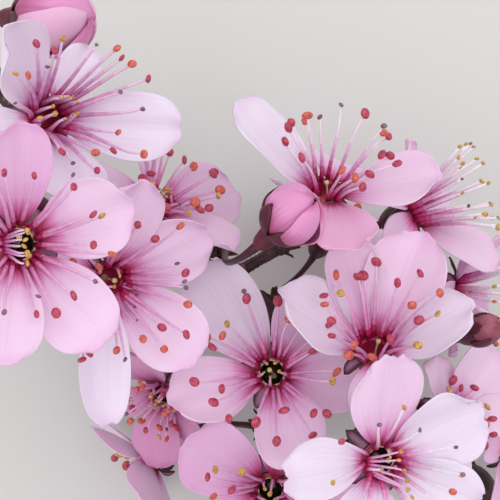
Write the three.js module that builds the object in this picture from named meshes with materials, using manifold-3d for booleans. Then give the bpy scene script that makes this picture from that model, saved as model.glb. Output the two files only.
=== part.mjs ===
// A cut spray of cherry plum in full blossom: one woody stem with short spurs, and on each
// spur a few stalked flowers. It lies on a level surface, on its cut foot and its lowest
// flowers, and most of its flowers face up.
//
// Millimetres, +Z up. X and Y lie in the surface that the spray rests on. The sizes and
// places below are measured from a point over the middle of the cluster.

import * as THREE from "three";
import { mergeVertices } from "three/addons/utils/BufferGeometryUtils.js";
import Module from "manifold-3d";

const wasm = await Module();
wasm.setup();

// Clearance between solids that touch in life: a stalk and its spur, a flower and its cup.
const SEAT_GAP = 0.3;

// The flower. Its own axis is +Z, and the rim of its cup lies in its own plane z = 0.
const PETAL_THICKNESS = 0.32;
const PETAL_WIDTH_SHARE = 0.84; // widest place over length, before the flower's own widths
const PETAL_USUAL_WIDTH = 0.92; // of a flower without widths of its own
const PETAL_WIDEST_AT = 0.6; // share of the length
const PETAL_CLAW_SHARE = 0.2; // width of the narrow foot over the widest place
const PETAL_TWIST = 8; // degrees; lays one edge over the next petal and the other under
const PETAL_END = 0.436; // from the widest place to where the sides would close
const PETAL_BOW = 0.05; // how far the round end stands out before its corners
const PETAL_ROWS = [0, 0.36, 0.76, 1];
const PETAL_COLUMNS = [-1, 0, 1];
const PETAL_ROOT = { radius: 1.55, height: 0.45 };
const HUB = { radius: 1.9, height: 0.9, sides: 6 };
const CUP = { radius: 2.25, waist: 1.6, foot: 0.75, depth: 4.3, sides: 7 };
const SEPAL = { length: 4.2, widthShare: 0.46, lift: -16, curl: -12, cup: 20, thickness: 0.4 };
const SEPAL_ROOT = { radius: 1.4, height: -0.75 };
const SEPAL_ROWS = [0, 0.5, 0.97];
const SEPAL_COLUMNS = [-1, 1];
// A stalk starts inside its spur's tip, this far toward the flower, and ends inside its cup.
const STALK = { start: 0.9, overlap: 0.5, radius: 0.5, bend: 0.4, sides: 4, steps: 4 };

// A flower has this many stamens; every sixth one is a solid here.
const STAMEN_COUNT = 24;
const STAMEN_STEP = 6;
const STAMEN = { root: 1.1, rootHeight: 0.5, foot: 0.2, neck: 0.14, anther: 0.5, antherLength: 1.1 };
const STYLE = { length: 8, radius: 0.2, stigma: 0.45 };

// The stem, from its cut foot to its tip.
const STEM_ROUTE = [
  [41.5, -42.5, 2.04],
  [31.5, -33, 7.5],
  [20, -23.5, 12.5],
  [7.6, -12.7, 15.5],
  [-1.8, -5.1, 17],
  [-12.5, 1.3, 18],
  [-22.6, 10, 18],
  [-31.5, 20.4, 16],
  [-36.5, 28.5, 14.5],
];
const STEM_FOOT_RADIUS = 2.35;
const STEM_TIP_RADIUS = 1.15;
const STEM_STEPS = 14;
const STEM_SIDES = 8;

// Spurs: short side shoots, each from a place along the stem (0 foot, 1 tip) to its crowded tip.
const SPURS = {
  left_high: { along: 0.68, tip: [-19, 2.5, 29] },
  left_low: { along: 0.62, tip: [-12, -2.5, 22.5] },
  left_top: { along: 0.78, tip: [-25.5, 12.5, 25.5] },
  left_end: { along: 0.92, tip: [-35.5, 24, 21] },
  left_under: { along: 0.73, tip: [-22.5, 4.5, 13] },
  middle_left: { along: 0.62, tip: [-3, 0.2, 19.5] },
  middle_high: { along: 0.565, tip: [4.8, 0.9, 19.5] },
  middle_low: { along: 0.46, tip: [3, -6, 12.5] },
  middle: { along: 0.45, tip: [5.5, -13.5, 18] },
  middle_right: { along: 0.36, tip: [16, -15.5, 18] },
  right_high: { along: 0.3, tip: [14.5, -21.5, 20] },
  right_side: { along: 0.28, tip: [20.8, -11, 13] },
  right_inner: { along: 0.23, tip: [22.5, -20.5, 15] },
  low_left: { along: 0.42, tip: [-1, -16.5, 14] },
  low_under: { along: 0.35, tip: [1, -23.5, 10] },
  low_right: { along: 0.28, tip: [8.5, -27, 13] },
  foot_side: { along: 0.15, tip: [28.5, -24.5, 8.5] },
  foot_low: { along: 0.16, tip: [26, -33.5, 9] },
};
const SPUR_ROOT_RADIUS = 1;
const SPUR_TIP_RADIUS = 0.75;
const SPUR_KNOB_RADIUS = 1.15;
const SPUR_KNOB_LENGTH = 1.6;
const SPUR_END_RADIUS = 0.85;
const SPUR_SAG = 0.06; // share of its length
const SPUR_SIDES = 5;

// Each flower: the middle of its cup's rim, how far it leans from straight up and toward
// which side (degrees from +X), its reach from the middle to a petal's tip, how wide its
// stamens spread, and the spur that carries its stalk. Its five petals follow: where each
// points as seen from the flower's front, how far it is lifted above the rim, its size, and
// where it isn't as wide as the others, its width against theirs. Petals that close or droop
// have curls of their own, half-open flowers have small cups and lift their sepals, and some
// flowers have short stamens.
const BLOOMS = [
  {
    name: "left_front", at: [-21.8, 0.5, 50], lean: 27, toward: 359,
    reach: 12.9, spread: 60, spur: "left_high",
    angles: [22, 96, 173, 254, 309], lifts: [20, 21, 16, 24, 13],
    sizes: [0.89, 0.93, 1, 0.95, 0.97], widths: [0.99, 0.76, 0.95, 0.8, 0.85],
  },
  {
    name: "left_top", at: [-21.7, 14, 38], lean: 41, toward: 11,
    reach: 14.1, spread: 46, spur: "left_top",
    angles: [355, 57, 138, 206, 275], lifts: [29, 5, 34, -25, 30],
    sizes: [1.05, 0.69, 0.85, 0.72, 0.84], widths: [0.62, 0.81, 1.08, 0.95, 0.98],
  },
  {
    name: "left_corner", at: [-26.2, 26.3, 30], lean: 70, toward: 355,
    reach: 9.8, spread: 14, spur: "left_end",
    angles: [20, 92, 164, 236, 308], lifts: [44, 46, 48, 46, 44],
    sizes: [1, 1, 1, 1, 1],
    curls: [48, 48, 48, 48, 48], sepalLift: 34, cupShare: 0.7, stamens: 0.6,
  },
  {
    name: "left_inner", at: [-15.4, -3.2, 35.2], lean: 34, toward: 343,
    reach: 12.8, spread: 56, spur: "left_low",
    angles: [24, 82, 173, 262, 316], lifts: [13, 20, 14, 15, 21],
    sizes: [0.97, 0.95, 0.85, 1.22, 1.06], widths: [0.89, 0.91, 0.95, 0.56, 0.85],
  },
  {
    name: "middle_upper", at: [-11.2, 5.3, 25.5], lean: 56, toward: 46,
    reach: 12.2, spread: 48, spur: "middle_left",
    angles: [20, 95, 167, 239, 308], lifts: [10, 5, -10, -20, 24],
    sizes: [1.01, 0.86, 0.85, 0.7, 0.95], widths: [1.04, 0.6, 0.95, 0.95, 0.95],
  },
  {
    name: "low_left", at: [-10.6, -17.8, 18.8], lean: 44, toward: 228,
    reach: 11, spread: 48, spur: "low_left",
    angles: [18, 102, 196, 260, 320], lifts: [-16, 27, 11, 20, 16],
    sizes: [0.75, 1.05, 0.75, 0.97, 0.9], widths: [0.95, 1, 0.89, 0.99, 0.95],
  },
  {
    name: "middle", at: [2.6, -14.5, 26], lean: 19, toward: 101,
    reach: 12.6, spread: 62, spur: "middle",
    angles: [349, 57, 126, 198, 288], lifts: [6, 7, 14, 13, 14],
    sizes: [0.88, 0.89, 1.23, 1.01, 0.98], widths: [0.93, 0.99, 0.76, 0.9, 0.95],
  },
  {
    name: "right_middle", at: [13.9, -11.4, 31], lean: 44, toward: 95,
    reach: 12.8, spread: 44, spur: "middle_right",
    angles: [2, 60, 103, 164, 266], lifts: [36, 35, 34, 36, -24],
    sizes: [1.01, 1.16, 1.05, 1.02, 0.66], widths: [0.78, 0.88, 0.73, 1.02, 0.95],
  },
  {
    name: "right_low", at: [13.7, -22.2, 38], lean: 17, toward: 341,
    reach: 12.2, spread: 56, spur: "right_high",
    angles: [28, 94, 181, 252, 334], lifts: [17, 15, 9, 14, 11],
    sizes: [1, 1.02, 0.95, 1, 0.99], widths: [1.03, 0.96, 0.8, 0.95, 0.84],
  },
  {
    name: "top_middle", at: [9, 6.7, 27], lean: 45, toward: 77,
    reach: 13.2, spread: 40, spur: "middle_high",
    angles: [351, 68, 153, 204, 271], lifts: [27, 4, 30, -6, 13],
    sizes: [1.02, 0.85, 1.14, 0.6, 0.98], widths: [0.85, 0.95, 0.8, 0.95, 0.86],
    curls: [6, -66, 6, 6, 6],
  },
  {
    name: "half_open", at: [2.4, 1.8, 36.7], lean: 62, toward: 40,
    reach: 7.4, spread: 8, spur: "middle_left",
    angles: [0, 72, 144, 216, 288], lifts: [44, 44, 44, 44, 44],
    sizes: [1, 1, 1, 1, 1],
    curls: [68, 68, 68, 68, 68], sepalLift: 34, cupShare: 0.62, stamens: 0.6,
  },
  {
    name: "right_upper", at: [19.9, 4.7, 20.5], lean: 64, toward: 23,
    reach: 12, spread: 40, spur: "middle_high",
    angles: [313, 32, 108, 168, 226], lifts: [33, 10, 20, -14, -20],
    sizes: [1.06, 0.9, 0.75, 0.8, 0.88], widths: [0.9, 0.95, 0.95, 0.9, 0.92],
  },
  {
    name: "right_side", at: [26, -5.3, 15.2], lean: 74, toward: 350,
    reach: 11, spread: 44, spur: "right_side",
    angles: [40, 108, 176, 252, 328], lifts: [24, 10, -14, 8, 24],
    sizes: [1, 0.66, 0.6, 0.75, 0.95],
  },
  {
    name: "right_inner", at: [24.1, -20.5, 23], lean: 30, toward: 45,
    reach: 11.6, spread: 50, spur: "right_inner",
    angles: [104, 52, 4, 270, 190], lifts: [10, 14, 12, -8, -8],
    sizes: [0.68, 0.92, 0.74, 0.66, 0.6], widths: [0.95, 0.95, 0.9, 0.8, 0.8],
    stamens: 0.5,
  },
  {
    name: "right_far", at: [33, -24.8, 14.4], lean: 62, toward: 345,
    reach: 11.6, spread: 46, spur: "foot_side",
    angles: [20, 92, 164, 236, 308], lifts: [18, 12, -14, 8, 18],
    sizes: [1, 0.9, 0.7, 0.85, 1],
  },
  {
    name: "bottom", at: [2.5, -28.8, 23], lean: 13, toward: 247,
    reach: 12.4, spread: 56, spur: "low_right",
    angles: [144, 220, 292, 4, 76], lifts: [13, 14, 14, 10, 0],
    sizes: [1.03, 1, 1, 0.95, 0.85], widths: [1.02, 0.95, 0.95, 0.95, 0.8],
  },
  {
    name: "under_left", at: [-31, 6, 9.42], lean: 78, toward: 175,
    reach: 11, spread: 50, spur: "left_under",
    angles: [20, 92, 164, 236, 308], lifts: [16, 16, 16, 16, 16],
    sizes: [1, 1, 1, 1, 1],
    stamens: 0.5,
  },
  {
    name: "under_low", at: [-13.4, -27.8, 9.16], lean: 84, toward: 218,
    reach: 10.4, spread: 50, spur: "low_under",
    angles: [20, 92, 164, 236, 308], lifts: [16, 16, 16, 16, 16],
    sizes: [1, 1, 1, 1, 1],
    stamens: 0.5,
  },
  {
    name: "under_middle", at: [10.6, 2.8, 8.45], lean: 76, toward: 62,
    reach: 10.8, spread: 50, spur: "middle_low",
    angles: [20, 92, 164, 236, 308], lifts: [14, 14, 14, 14, 14],
    sizes: [1, 1, 1, 1, 1],
    stamens: 0.5,
  },
];
const PETAL_CURL = 6;
const PETAL_CUP = 20;

// Unopened buds: the same stalk and cup, closed by a round head.
const BUDS = [
  { name: "right", at: [26.5, -9.3, 28.5], lean: 40, toward: 30, size: 1, spur: "right_side" },
  { name: "left_end", at: [-38.5, 30.5, 20], lean: 55, toward: 125, size: 0.9, spur: "left_end" },
  { name: "foot", at: [23, -36.5, 13], lean: 40, toward: 225, size: 0.8, spur: "foot_low" },
];
const BUD_DEPTH = 3.4; // from the middle of the head to its foot
const BUD_PROFILE = [
  [0, -BUD_DEPTH],
  [0.7, -BUD_DEPTH],
  [1.25, -2.2],
  [1.75, -0.6],
  [1.8, 0.8],
  [1.2, 2.1],
  [0, 2.9],
];
const BUD_SIDES = 9;

const radians = THREE.MathUtils.degToRad;
const UP = new THREE.Vector3(0, 0, 1);

// A closed geometry as a solid that can be joined and cut.
function solidOf(geometry) {
  geometry.deleteAttribute("normal");
  geometry.deleteAttribute("uv");
  const merged = mergeVertices(geometry, 1e-4);
  const vertProperties = new Float32Array(merged.attributes.position.array);
  const triVerts = new Uint32Array(merged.index.array);
  const made = new wasm.Manifold(new wasm.Mesh({ numProp: 3, vertProperties, triVerts }));
  if (made.volume() > 0) return made;
  for (let i = 0; i < triVerts.length; i += 3) {
    [triVerts[i + 1], triVerts[i + 2]] = [triVerts[i + 2], triVerts[i + 1]];
  }
  return new wasm.Manifold(new wasm.Mesh({ numProp: 3, vertProperties, triVerts }));
}

function geometryOf(solid) {
  const mesh = solid.getMesh();
  const geometry = new THREE.BufferGeometry();
  geometry.setAttribute("position", new THREE.BufferAttribute(mesh.vertProperties, 3));
  geometry.setIndex(new THREE.BufferAttribute(mesh.triVerts, 1));
  geometry.computeVertexNormals();
  return geometry;
}

function joined(solids) {
  return solids.reduce((whole, piece) => whole.add(piece));
}

function meshOf(points, triangles) {
  const geometry = new THREE.BufferGeometry().setFromPoints(points);
  geometry.setIndex(triangles);
  return geometry;
}

// A limb: rings of a few sides round each point of a path. A last radius of 0 is a sharp tip.
function limb(path, radii, sides) {
  const points = [];
  const triangles = [];
  const pointed = radii[radii.length - 1] === 0;
  let across = null;
  path.forEach((centre, k) => {
    const before = path[Math.max(k - 1, 0)];
    const after = path[Math.min(k + 1, path.length - 1)];
    const along = after.clone().sub(before).normalize();
    across ??= new THREE.Vector3(...(Math.abs(along.x) < 0.8 ? [1, 0, 0] : [0, 1, 0]));
    across = across.clone().addScaledVector(along, -across.dot(along)).normalize();
    const beside = along.clone().cross(across);
    if (pointed && k === path.length - 1) {
      points.push(centre.clone());
      return;
    }
    for (let i = 0; i < sides; i++) {
      const angle = (i / sides) * 2 * Math.PI;
      const side = across.clone().multiplyScalar(Math.cos(angle));
      side.addScaledVector(beside, Math.sin(angle));
      points.push(centre.clone().addScaledVector(side, radii[k]));
    }
  });
  const rings = pointed ? path.length - 1 : path.length;
  for (let k = 0; k + 1 < rings; k++) {
    for (let i = 0; i < sides; i++) {
      const [a, b] = [k * sides + i, k * sides + ((i + 1) % sides)];
      triangles.push(a, b, b + sides, a, b + sides, a + sides);
    }
  }
  for (let i = 1; i + 1 < sides; i++) triangles.push(0, i + 1, i);
  const last = (rings - 1) * sides;
  if (pointed) {
    for (let i = 0; i < sides; i++) triangles.push(last + i, last + ((i + 1) % sides), points.length - 1);
  } else {
    for (let i = 1; i + 1 < sides; i++) triangles.push(last, last + i, last + i + 1);
  }
  return solidOf(meshOf(points, triangles));
}

// A profile of [radius, height] pairs, from the axis back to the axis, turned about +Z.
function turned(profile, segments) {
  const points = profile.map(([radius, height]) => new THREE.Vector2(radius, height));
  return new THREE.LatheGeometry(points, segments).rotateX(Math.PI / 2);
}

// Half width of a petal over its widest half width, at a share s of its length: a wedge
// that widens from the claw, and from the widest place on a round end.
function petalOutline(s) {
  if (s < PETAL_WIDEST_AT) {
    const widening = Math.sin((Math.PI / 2) * (s / PETAL_WIDEST_AT) ** 0.85);
    return THREE.MathUtils.lerp(PETAL_CLAW_SHARE, 1, widening);
  }
  return Math.sqrt(1 - ((s - PETAL_WIDEST_AT) / PETAL_END) ** 2.4);
}

function sepalOutline(s) {
  return 0.75 + 0.25 * Math.sin(Math.PI * s) - 0.75 * s ** 2.2;
}

// The point of a blade at a share s of its length and v of its half width, moved up by
// `rise` from the middle of its thickness. The midline is an arc that starts at the root and
// climbs at `lift`, turning by `curl` on its way; across, the blade is an arc of `cup`.
function bladePoint(blade, s, v, rise) {
  const start = radians(blade.lift);
  const turn = radians(blade.curl || 1e-3);
  const reached = s - PETAL_BOW * v * v * s ** 3;
  const slope = start + turn * reached;
  const out = blade.root.radius + (blade.length / turn) * (Math.sin(slope) - Math.sin(start));
  const up = blade.root.height - (blade.length / turn) * (Math.cos(slope) - Math.cos(start));
  const half = (blade.width / 2) * blade.outline(s);
  const cup = radians(blade.cup);
  const flatAcross = (half * Math.sin(cup * v)) / cup - rise * Math.sin(cup * v);
  const flatHigh = (half * (1 - Math.cos(cup * v))) / cup + rise * Math.cos(cup * v);
  const twist = radians(blade.twist) * reached;
  const across = flatAcross * Math.cos(twist) - flatHigh * Math.sin(twist);
  const high = flatAcross * Math.sin(twist) + flatHigh * Math.cos(twist);
  const outward = out - high * Math.sin(slope);
  const height = up + high * Math.cos(slope);
  const angle = radians(blade.angle);
  return new THREE.Vector3(
    outward * Math.cos(angle) - across * Math.sin(angle),
    outward * Math.sin(angle) + across * Math.cos(angle),
    height,
  );
}

// A blade as a closed sheet: two skins of rows and columns, and the rim between them.
function bladeSolid(blade, rows, columns) {
  const points = [];
  for (const rise of [blade.thickness / 2, -blade.thickness / 2]) {
    for (const s of rows) {
      for (const v of columns) points.push(bladePoint(blade, s, v, rise));
    }
  }
  const wide = columns.length;
  const skin = rows.length * wide;
  const triangles = [];
  const quad = (a, b, c, d) => triangles.push(a, b, c, a, c, d);
  for (let r = 0; r + 1 < rows.length; r++) {
    for (let c = 0; c + 1 < wide; c++) {
      const a = r * wide + c;
      quad(a, a + wide, a + wide + 1, a + 1);
      quad(skin + a, skin + a + 1, skin + a + wide + 1, skin + a + wide);
    }
  }
  const rim = (a, b) => quad(a, skin + a, skin + b, b);
  const last = skin - wide;
  for (let c = 0; c + 1 < wide; c++) {
    rim(c + 1, c);
    rim(last + c, last + c + 1);
  }
  for (let r = 0; r + 1 < rows.length; r++) {
    rim(r * wide, (r + 1) * wide);
    rim((r + 2) * wide - 1, (r + 1) * wide - 1);
  }
  return solidOf(meshOf(points, triangles));
}

// A number from 0 to 1 that is always the same for a flower and a stamen.
function chance(flower, stamen) {
  const value = Math.sin(flower * 12.9898 + stamen * 78.233) * 43758.5453;
  return value - Math.floor(value);
}

const GOLDEN_ANGLE = 137.508;

// A stamen rises from the rim of the cup and leans out; its last stretch is the anther.
function stamen(bloom, flower, index) {
  const angle = radians(GOLDEN_ANGLE * index + 20 * chance(flower, index));
  const share = Math.sqrt((index + 0.5) / STAMEN_COUNT);
  const leaning = radians(bloom.spread * (0.42 + 0.58 * share));
  const length = bloom.reach * (0.58 + 0.22 * chance(flower, index + 50)) * (bloom.stamens ?? 1);
  const outward = new THREE.Vector3(Math.cos(angle), Math.sin(angle), 0);
  const root = outward.clone().multiplyScalar(STAMEN.root).setZ(STAMEN.rootHeight);
  const along = outward.clone().multiplyScalar(Math.sin(leaning)).addScaledVector(UP, Math.cos(leaning));
  const neck = length - STAMEN.antherLength;
  const stations = [0, neck, neck + STAMEN.antherLength * 0.5, length];
  const path = stations.map((distance) => root.clone().addScaledVector(along, distance));
  return limb(path, [STAMEN.foot, STAMEN.neck, STAMEN.anther, 0], 3);
}

// The open flower above its cup: hub, petals, stamens and style in one.
function corolla(bloom, flower) {
  const profile = [[0, 0], [HUB.radius, 0], [HUB.radius * 0.9, HUB.height], [0, HUB.height]];
  const hub = solidOf(turned(profile, HUB.sides));
  const petals = bloom.angles.map((angle, i) => {
    const length = bloom.sizes[i] * bloom.reach - PETAL_ROOT.radius;
    const blade = {
      angle,
      length,
      width: length * PETAL_WIDTH_SHARE * (bloom.widths?.[i] ?? PETAL_USUAL_WIDTH),
      lift: bloom.lifts[i],
      curl: bloom.curls?.[i] ?? PETAL_CURL,
      cup: PETAL_CUP,
      twist: PETAL_TWIST,
      thickness: PETAL_THICKNESS,
      outline: petalOutline,
      root: PETAL_ROOT,
    };
    return bladeSolid(blade, PETAL_ROWS, PETAL_COLUMNS);
  });
  const stamens = [];
  for (let i = 0; i < STAMEN_COUNT; i += STAMEN_STEP) stamens.push(stamen(bloom, flower, i));
  const tall = Math.min(STYLE.length, bloom.reach * 0.66);
  const style = limb(
    [0, tall - 0.5, tall].map((z) => new THREE.Vector3(0.15, 0, z)),
    [STYLE.radius, STYLE.radius, STYLE.stigma],
    4,
  );
  return joined([hub, ...petals, ...stamens, style]);
}

// The cup and its five sepals, which stand between the petals.
function calyx(bloom) {
  const share = bloom.cupShare ?? 1;
  const depth = CUP.depth * share;
  const profile = [
    [0, -depth],
    [CUP.foot * share, -depth],
    [CUP.waist * share, -depth * 0.68],
    [CUP.radius * share, -SEAT_GAP],
    [0, -SEAT_GAP],
  ];
  const cup = solidOf(turned(profile, CUP.sides));
  const sepals = bloom.angles.map((angle, i) => {
    const next = bloom.angles[(i + 1) % bloom.angles.length];
    const between = angle + ((next - angle + 720) % 360) / 2;
    const blade = {
      angle: between,
      length: SEPAL.length,
      width: SEPAL.length * SEPAL.widthShare,
      lift: bloom.sepalLift ?? SEPAL.lift,
      curl: SEPAL.curl,
      cup: SEPAL.cup,
      twist: 0,
      thickness: SEPAL.thickness,
      outline: sepalOutline,
      root: SEPAL_ROOT,
    };
    return bladeSolid(blade, SEPAL_ROWS, SEPAL_COLUMNS);
  });
  return joined([cup, ...sepals]);
}

function budHead(bud) {
  const profile = BUD_PROFILE.map(([radius, height]) => [radius * bud.size, height * bud.size]);
  return solidOf(turned(profile, BUD_SIDES));
}

function placeOf(bloom) {
  const lean = radians(bloom.lean);
  const toward = radians(bloom.toward);
  const facing = new THREE.Vector3(
    Math.sin(lean) * Math.cos(toward),
    Math.sin(lean) * Math.sin(toward),
    Math.cos(lean),
  );
  const place = new THREE.Object3D();
  place.position.set(...bloom.at);
  place.quaternion.setFromUnitVectors(UP, facing);
  place.updateMatrix();
  return { place, facing };
}

// The wood. Grown by a margin it is the shape that keeps a stalk's end clear of it.
const stemCurve = new THREE.CatmullRomCurve3(STEM_ROUTE.map((p) => new THREE.Vector3(...p)));

function wood(margin) {
  const stations = Array.from({ length: STEM_STEPS + 1 }, (_, k) => k / STEM_STEPS);
  const radii = stations.map((t) => THREE.MathUtils.lerp(STEM_FOOT_RADIUS, STEM_TIP_RADIUS, t) + margin);
  const stem = limb(stations.map((t) => stemCurve.getPointAt(t)), radii, STEM_SIDES);
  const spurs = Object.values(SPURS).map(({ along, tip }) => {
    const foot = stemCurve.getPointAt(along);
    const end = new THREE.Vector3(...tip);
    const middle = foot.clone().lerp(end, 0.5);
    middle.z -= SPUR_SAG * foot.distanceTo(end);
    const direction = end.clone().sub(middle).normalize();
    const before = (distance) => end.clone().addScaledVector(direction, -distance);
    const path = [foot, middle, before(SPUR_KNOB_LENGTH), before(SPUR_KNOB_LENGTH * 0.4), end];
    const radii = [SPUR_ROOT_RADIUS, SPUR_TIP_RADIUS, SPUR_TIP_RADIUS, SPUR_KNOB_RADIUS, SPUR_END_RADIUS];
    return limb(path, radii.map((r) => r + margin), SPUR_SIDES);
  });
  return joined([stem, ...spurs]);
}

// A stalk runs from its spur's tip and bends up to the foot of the cup or bud at its end.
function stalk(spurName, place, facing, end, depth, kept) {
  const foot = place.position.clone().addScaledVector(facing, -depth + STALK.overlap);
  const start = new THREE.Vector3(...SPURS[spurName].tip);
  start.addScaledVector(foot.clone().sub(start).normalize(), STALK.start);
  const bend = foot.clone().addScaledVector(facing, -STALK.bend * start.distanceTo(foot));
  const curve = new THREE.QuadraticBezierCurve3(start, bend, foot);
  const path = curve.getPoints(STALK.steps);
  const pedicel = limb(path, path.map(() => STALK.radius), STALK.sides);
  const geometry = geometryOf(end).applyMatrix4(place.matrix);
  return joined([solidOf(geometry), pedicel]).subtract(kept);
}

const BARK = new THREE.MeshStandardMaterial({ color: 0x4a3230, roughness: 0.85, metalness: 0 });
const CALYX_RED = new THREE.MeshStandardMaterial({ color: 0x6e1f35, roughness: 0.6, metalness: 0 });
const PETAL_PINK = new THREE.MeshStandardMaterial({ color: 0xefc9e2, roughness: 0.6, metalness: 0 });

// The finished spray is moved so that the origin lies under the middle of its footprint.
const FOOTPRINT_MIDDLE = [1.455, -5.86];

const spray = new THREE.Group();
spray.position.set(-FOOTPRINT_MIDDLE[0], -FOOTPRINT_MIDDLE[1], 0);
function add(name, solid, material, parent = spray) {
  const mesh = new THREE.Mesh(geometryOf(solid), material);
  mesh.name = name;
  parent.add(mesh);
}

add("stem", wood(0), BARK);
const kept = wood(SEAT_GAP);
BLOOMS.forEach((bloom, flower) => {
  const { place, facing } = placeOf(bloom);
  spray.add(place);
  add("bloom_" + bloom.name, corolla(bloom, flower), PETAL_PINK, place);
  const depth = CUP.depth * (bloom.cupShare ?? 1);
  add("stalk_" + bloom.name, stalk(bloom.spur, place, facing, calyx(bloom), depth, kept), CALYX_RED);
});
for (const bud of BUDS) {
  const { place, facing } = placeOf(bud);
  const solid = stalk(bud.spur, place, facing, budHead(bud), BUD_DEPTH * bud.size, kept);
  add("bud_" + bud.name, solid, CALYX_RED);
}

export default spray;
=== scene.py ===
"""A cut spray of cherry plum in full blossom, lying on a pale surface and seen from above.

Metres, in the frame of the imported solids: +Z is up and the spray rests on z = 0. Sizes in
this script are millimetres, measured from the surface under the middle of the cluster.
"""

import math

import bpy
import numpy as np
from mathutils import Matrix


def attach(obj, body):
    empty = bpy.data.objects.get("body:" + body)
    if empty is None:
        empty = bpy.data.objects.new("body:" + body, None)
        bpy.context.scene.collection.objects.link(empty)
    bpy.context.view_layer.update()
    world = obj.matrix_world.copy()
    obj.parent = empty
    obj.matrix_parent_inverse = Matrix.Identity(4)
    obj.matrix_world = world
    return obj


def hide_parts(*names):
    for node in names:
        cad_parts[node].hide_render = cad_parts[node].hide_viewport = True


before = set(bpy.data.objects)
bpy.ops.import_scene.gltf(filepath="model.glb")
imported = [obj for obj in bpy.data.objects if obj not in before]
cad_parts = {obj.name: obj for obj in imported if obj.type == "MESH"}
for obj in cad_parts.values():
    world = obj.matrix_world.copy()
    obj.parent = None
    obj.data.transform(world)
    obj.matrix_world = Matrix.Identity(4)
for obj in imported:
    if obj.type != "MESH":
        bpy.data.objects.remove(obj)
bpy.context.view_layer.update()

# The surface, the light and the camera
# The cut spray lies on a plain pale board under a wide soft light, high on the right, with a
# weaker one opposite. The camera stands over it and looks straight down.

MILLIMETRE = 0.001
CLUSTER_MIDDLE = np.array([1.455, -5.86, 0.0])  # from the origin of the sizes below to the frame's
CAMERA_HEIGHT = 146.0
CAMERA_LENS = 73.44  # mm: the view is 59 mm wide at the height of the middle flower
SENSOR_WIDTH = 36  # mm
BOARD_SIDE = 6.0  # m
DAYLIGHT_STRENGTH = 0.68
# Each light: its place and side in metres, and its power in watts.
LIGHTS = {
    "sky_window": ((0.2, 0.21, 0.56), 0.8, 2.65),
    "room_window": ((-0.36, -0.2, 0.46), 0.6, 1.05),
}


def metres(points):
    """Moves points into the frame's place, and from millimetres into metres."""
    return (np.asarray(points, float) - CLUSTER_MIDDLE) * MILLIMETRE


def linear(hex_colour):
    """An sRGB hex value as linear red, green, blue and alpha: each part as a share of 255, by
    a straight line where it is dark and by a power of 2.4 where it isn't."""
    parts = np.array([int(hex_colour[i : i + 2], 16) for i in (1, 3, 5)]) / 255
    parts = np.where(parts <= 0.04045, parts / 12.92, ((parts + 0.055) / 1.055) ** 2.4)
    return (*parts.tolist(), 1.0)


def fill(tree, made, inputs):
    """Sets a node's inputs: another node's output is linked, and anything else is a value."""
    for place, value in inputs.items():
        if isinstance(value, bpy.types.NodeSocket):
            tree.links.new(value, made.inputs[place])
        else:
            made.inputs[place].default_value = value
    return made


def start_finish(name):
    """A new material with its node tree and its one shader."""
    made = bpy.data.materials.new(name)
    made.use_nodes = True
    return made, made.node_tree, made.node_tree.nodes["Principled BSDF"]


def even_finish(name, colour, inputs):
    """A material of one even colour, with its shader's other inputs."""
    made, tree, shader = start_finish(name)
    fill(tree, shader, {"Base Color": linear(colour)} | inputs)
    return made


# Matt painted board: an even warm off-white that keeps the spray's shadows soft.
BOARD_PAINT = even_finish("painted_board", "#D9D6D2", {"Roughness": 0.9})

bpy.ops.mesh.primitive_plane_add(size=BOARD_SIDE, location=(0, 0, 0))
board = bpy.context.object
board.name = "board"
board.data.materials.append(BOARD_PAINT)

camera = bpy.data.objects.new("camera", bpy.data.cameras.new("camera"))
bpy.context.collection.objects.link(camera)
camera.data.sensor_width = SENSOR_WIDTH
camera.data.lens = CAMERA_LENS
camera.data.clip_start = 0.01
camera.location = metres([0, 0, CAMERA_HEIGHT])
bpy.context.scene.camera = camera
bpy.context.scene.view_settings.view_transform = "Standard"

for name, (at, side, power) in LIGHTS.items():
    lamp = bpy.data.objects.new(name, bpy.data.lights.new(name, "AREA"))
    lamp.data.size = side
    lamp.data.energy = power
    lamp.location = at
    lamp.rotation_mode = "QUATERNION"
    lamp.rotation_quaternion = lamp.location.to_track_quat("Z", "Y")
    bpy.context.collection.objects.link(lamp)

world = bpy.data.worlds.new("daylight")
world.use_nodes = True
sky = world.node_tree.nodes["Background"]
fill(world.node_tree, sky, {"Color": linear("#E9ECF2"), "Strength": DAYLIGHT_STRENGTH})
bpy.context.scene.world = world

# The stem and its spurs
# One woody stem two winters old, cut off at its foot, with short side shoots that grow a few
# millimetres a year. Its bark is thin, dark and smooth between rough raised pores, and every
# year's growth of a spur leaves a ring of scars, so a spur is all ridges.

# The middle of the stem, from its cut foot to its tip.
STEM_ROUTE = [
    [41.5, -42.5, 2.04], [31.5, -33, 7.5], [20, -23.5, 12.5], [7.6, -12.7, 15.5], [-1.8, -5.1, 17],
    [-12.5, 1.3, 18], [-22.6, 10, 18], [-31.5, 20.4, 16], [-36.5, 28.5, 14.5],
]
STEM_FOOT_RADIUS = 2.35
STEM_TIP_RADIUS = 1.15
SHEAR_PINCH = 0.03  # how far the shears press the bark in at the cut
STEM_MEAN_RADIUS = 1.7
STEM_RINGS = 300
STEM_SIDES = 40
STEM_PORES = 110
STEM_READINGS = 1001  # places along the stem that spurs may start from
STEM_SCARS_AT = (0.52, 0.86)  # shares of its length: a set of close rings, and one alone
CLOSE_SCARS = 4
CLOSE_SCAR_STEP = 0.55
SWELLING = 0.28  # of the stem under a spur
SWELLING_REACH = 1.6

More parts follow.
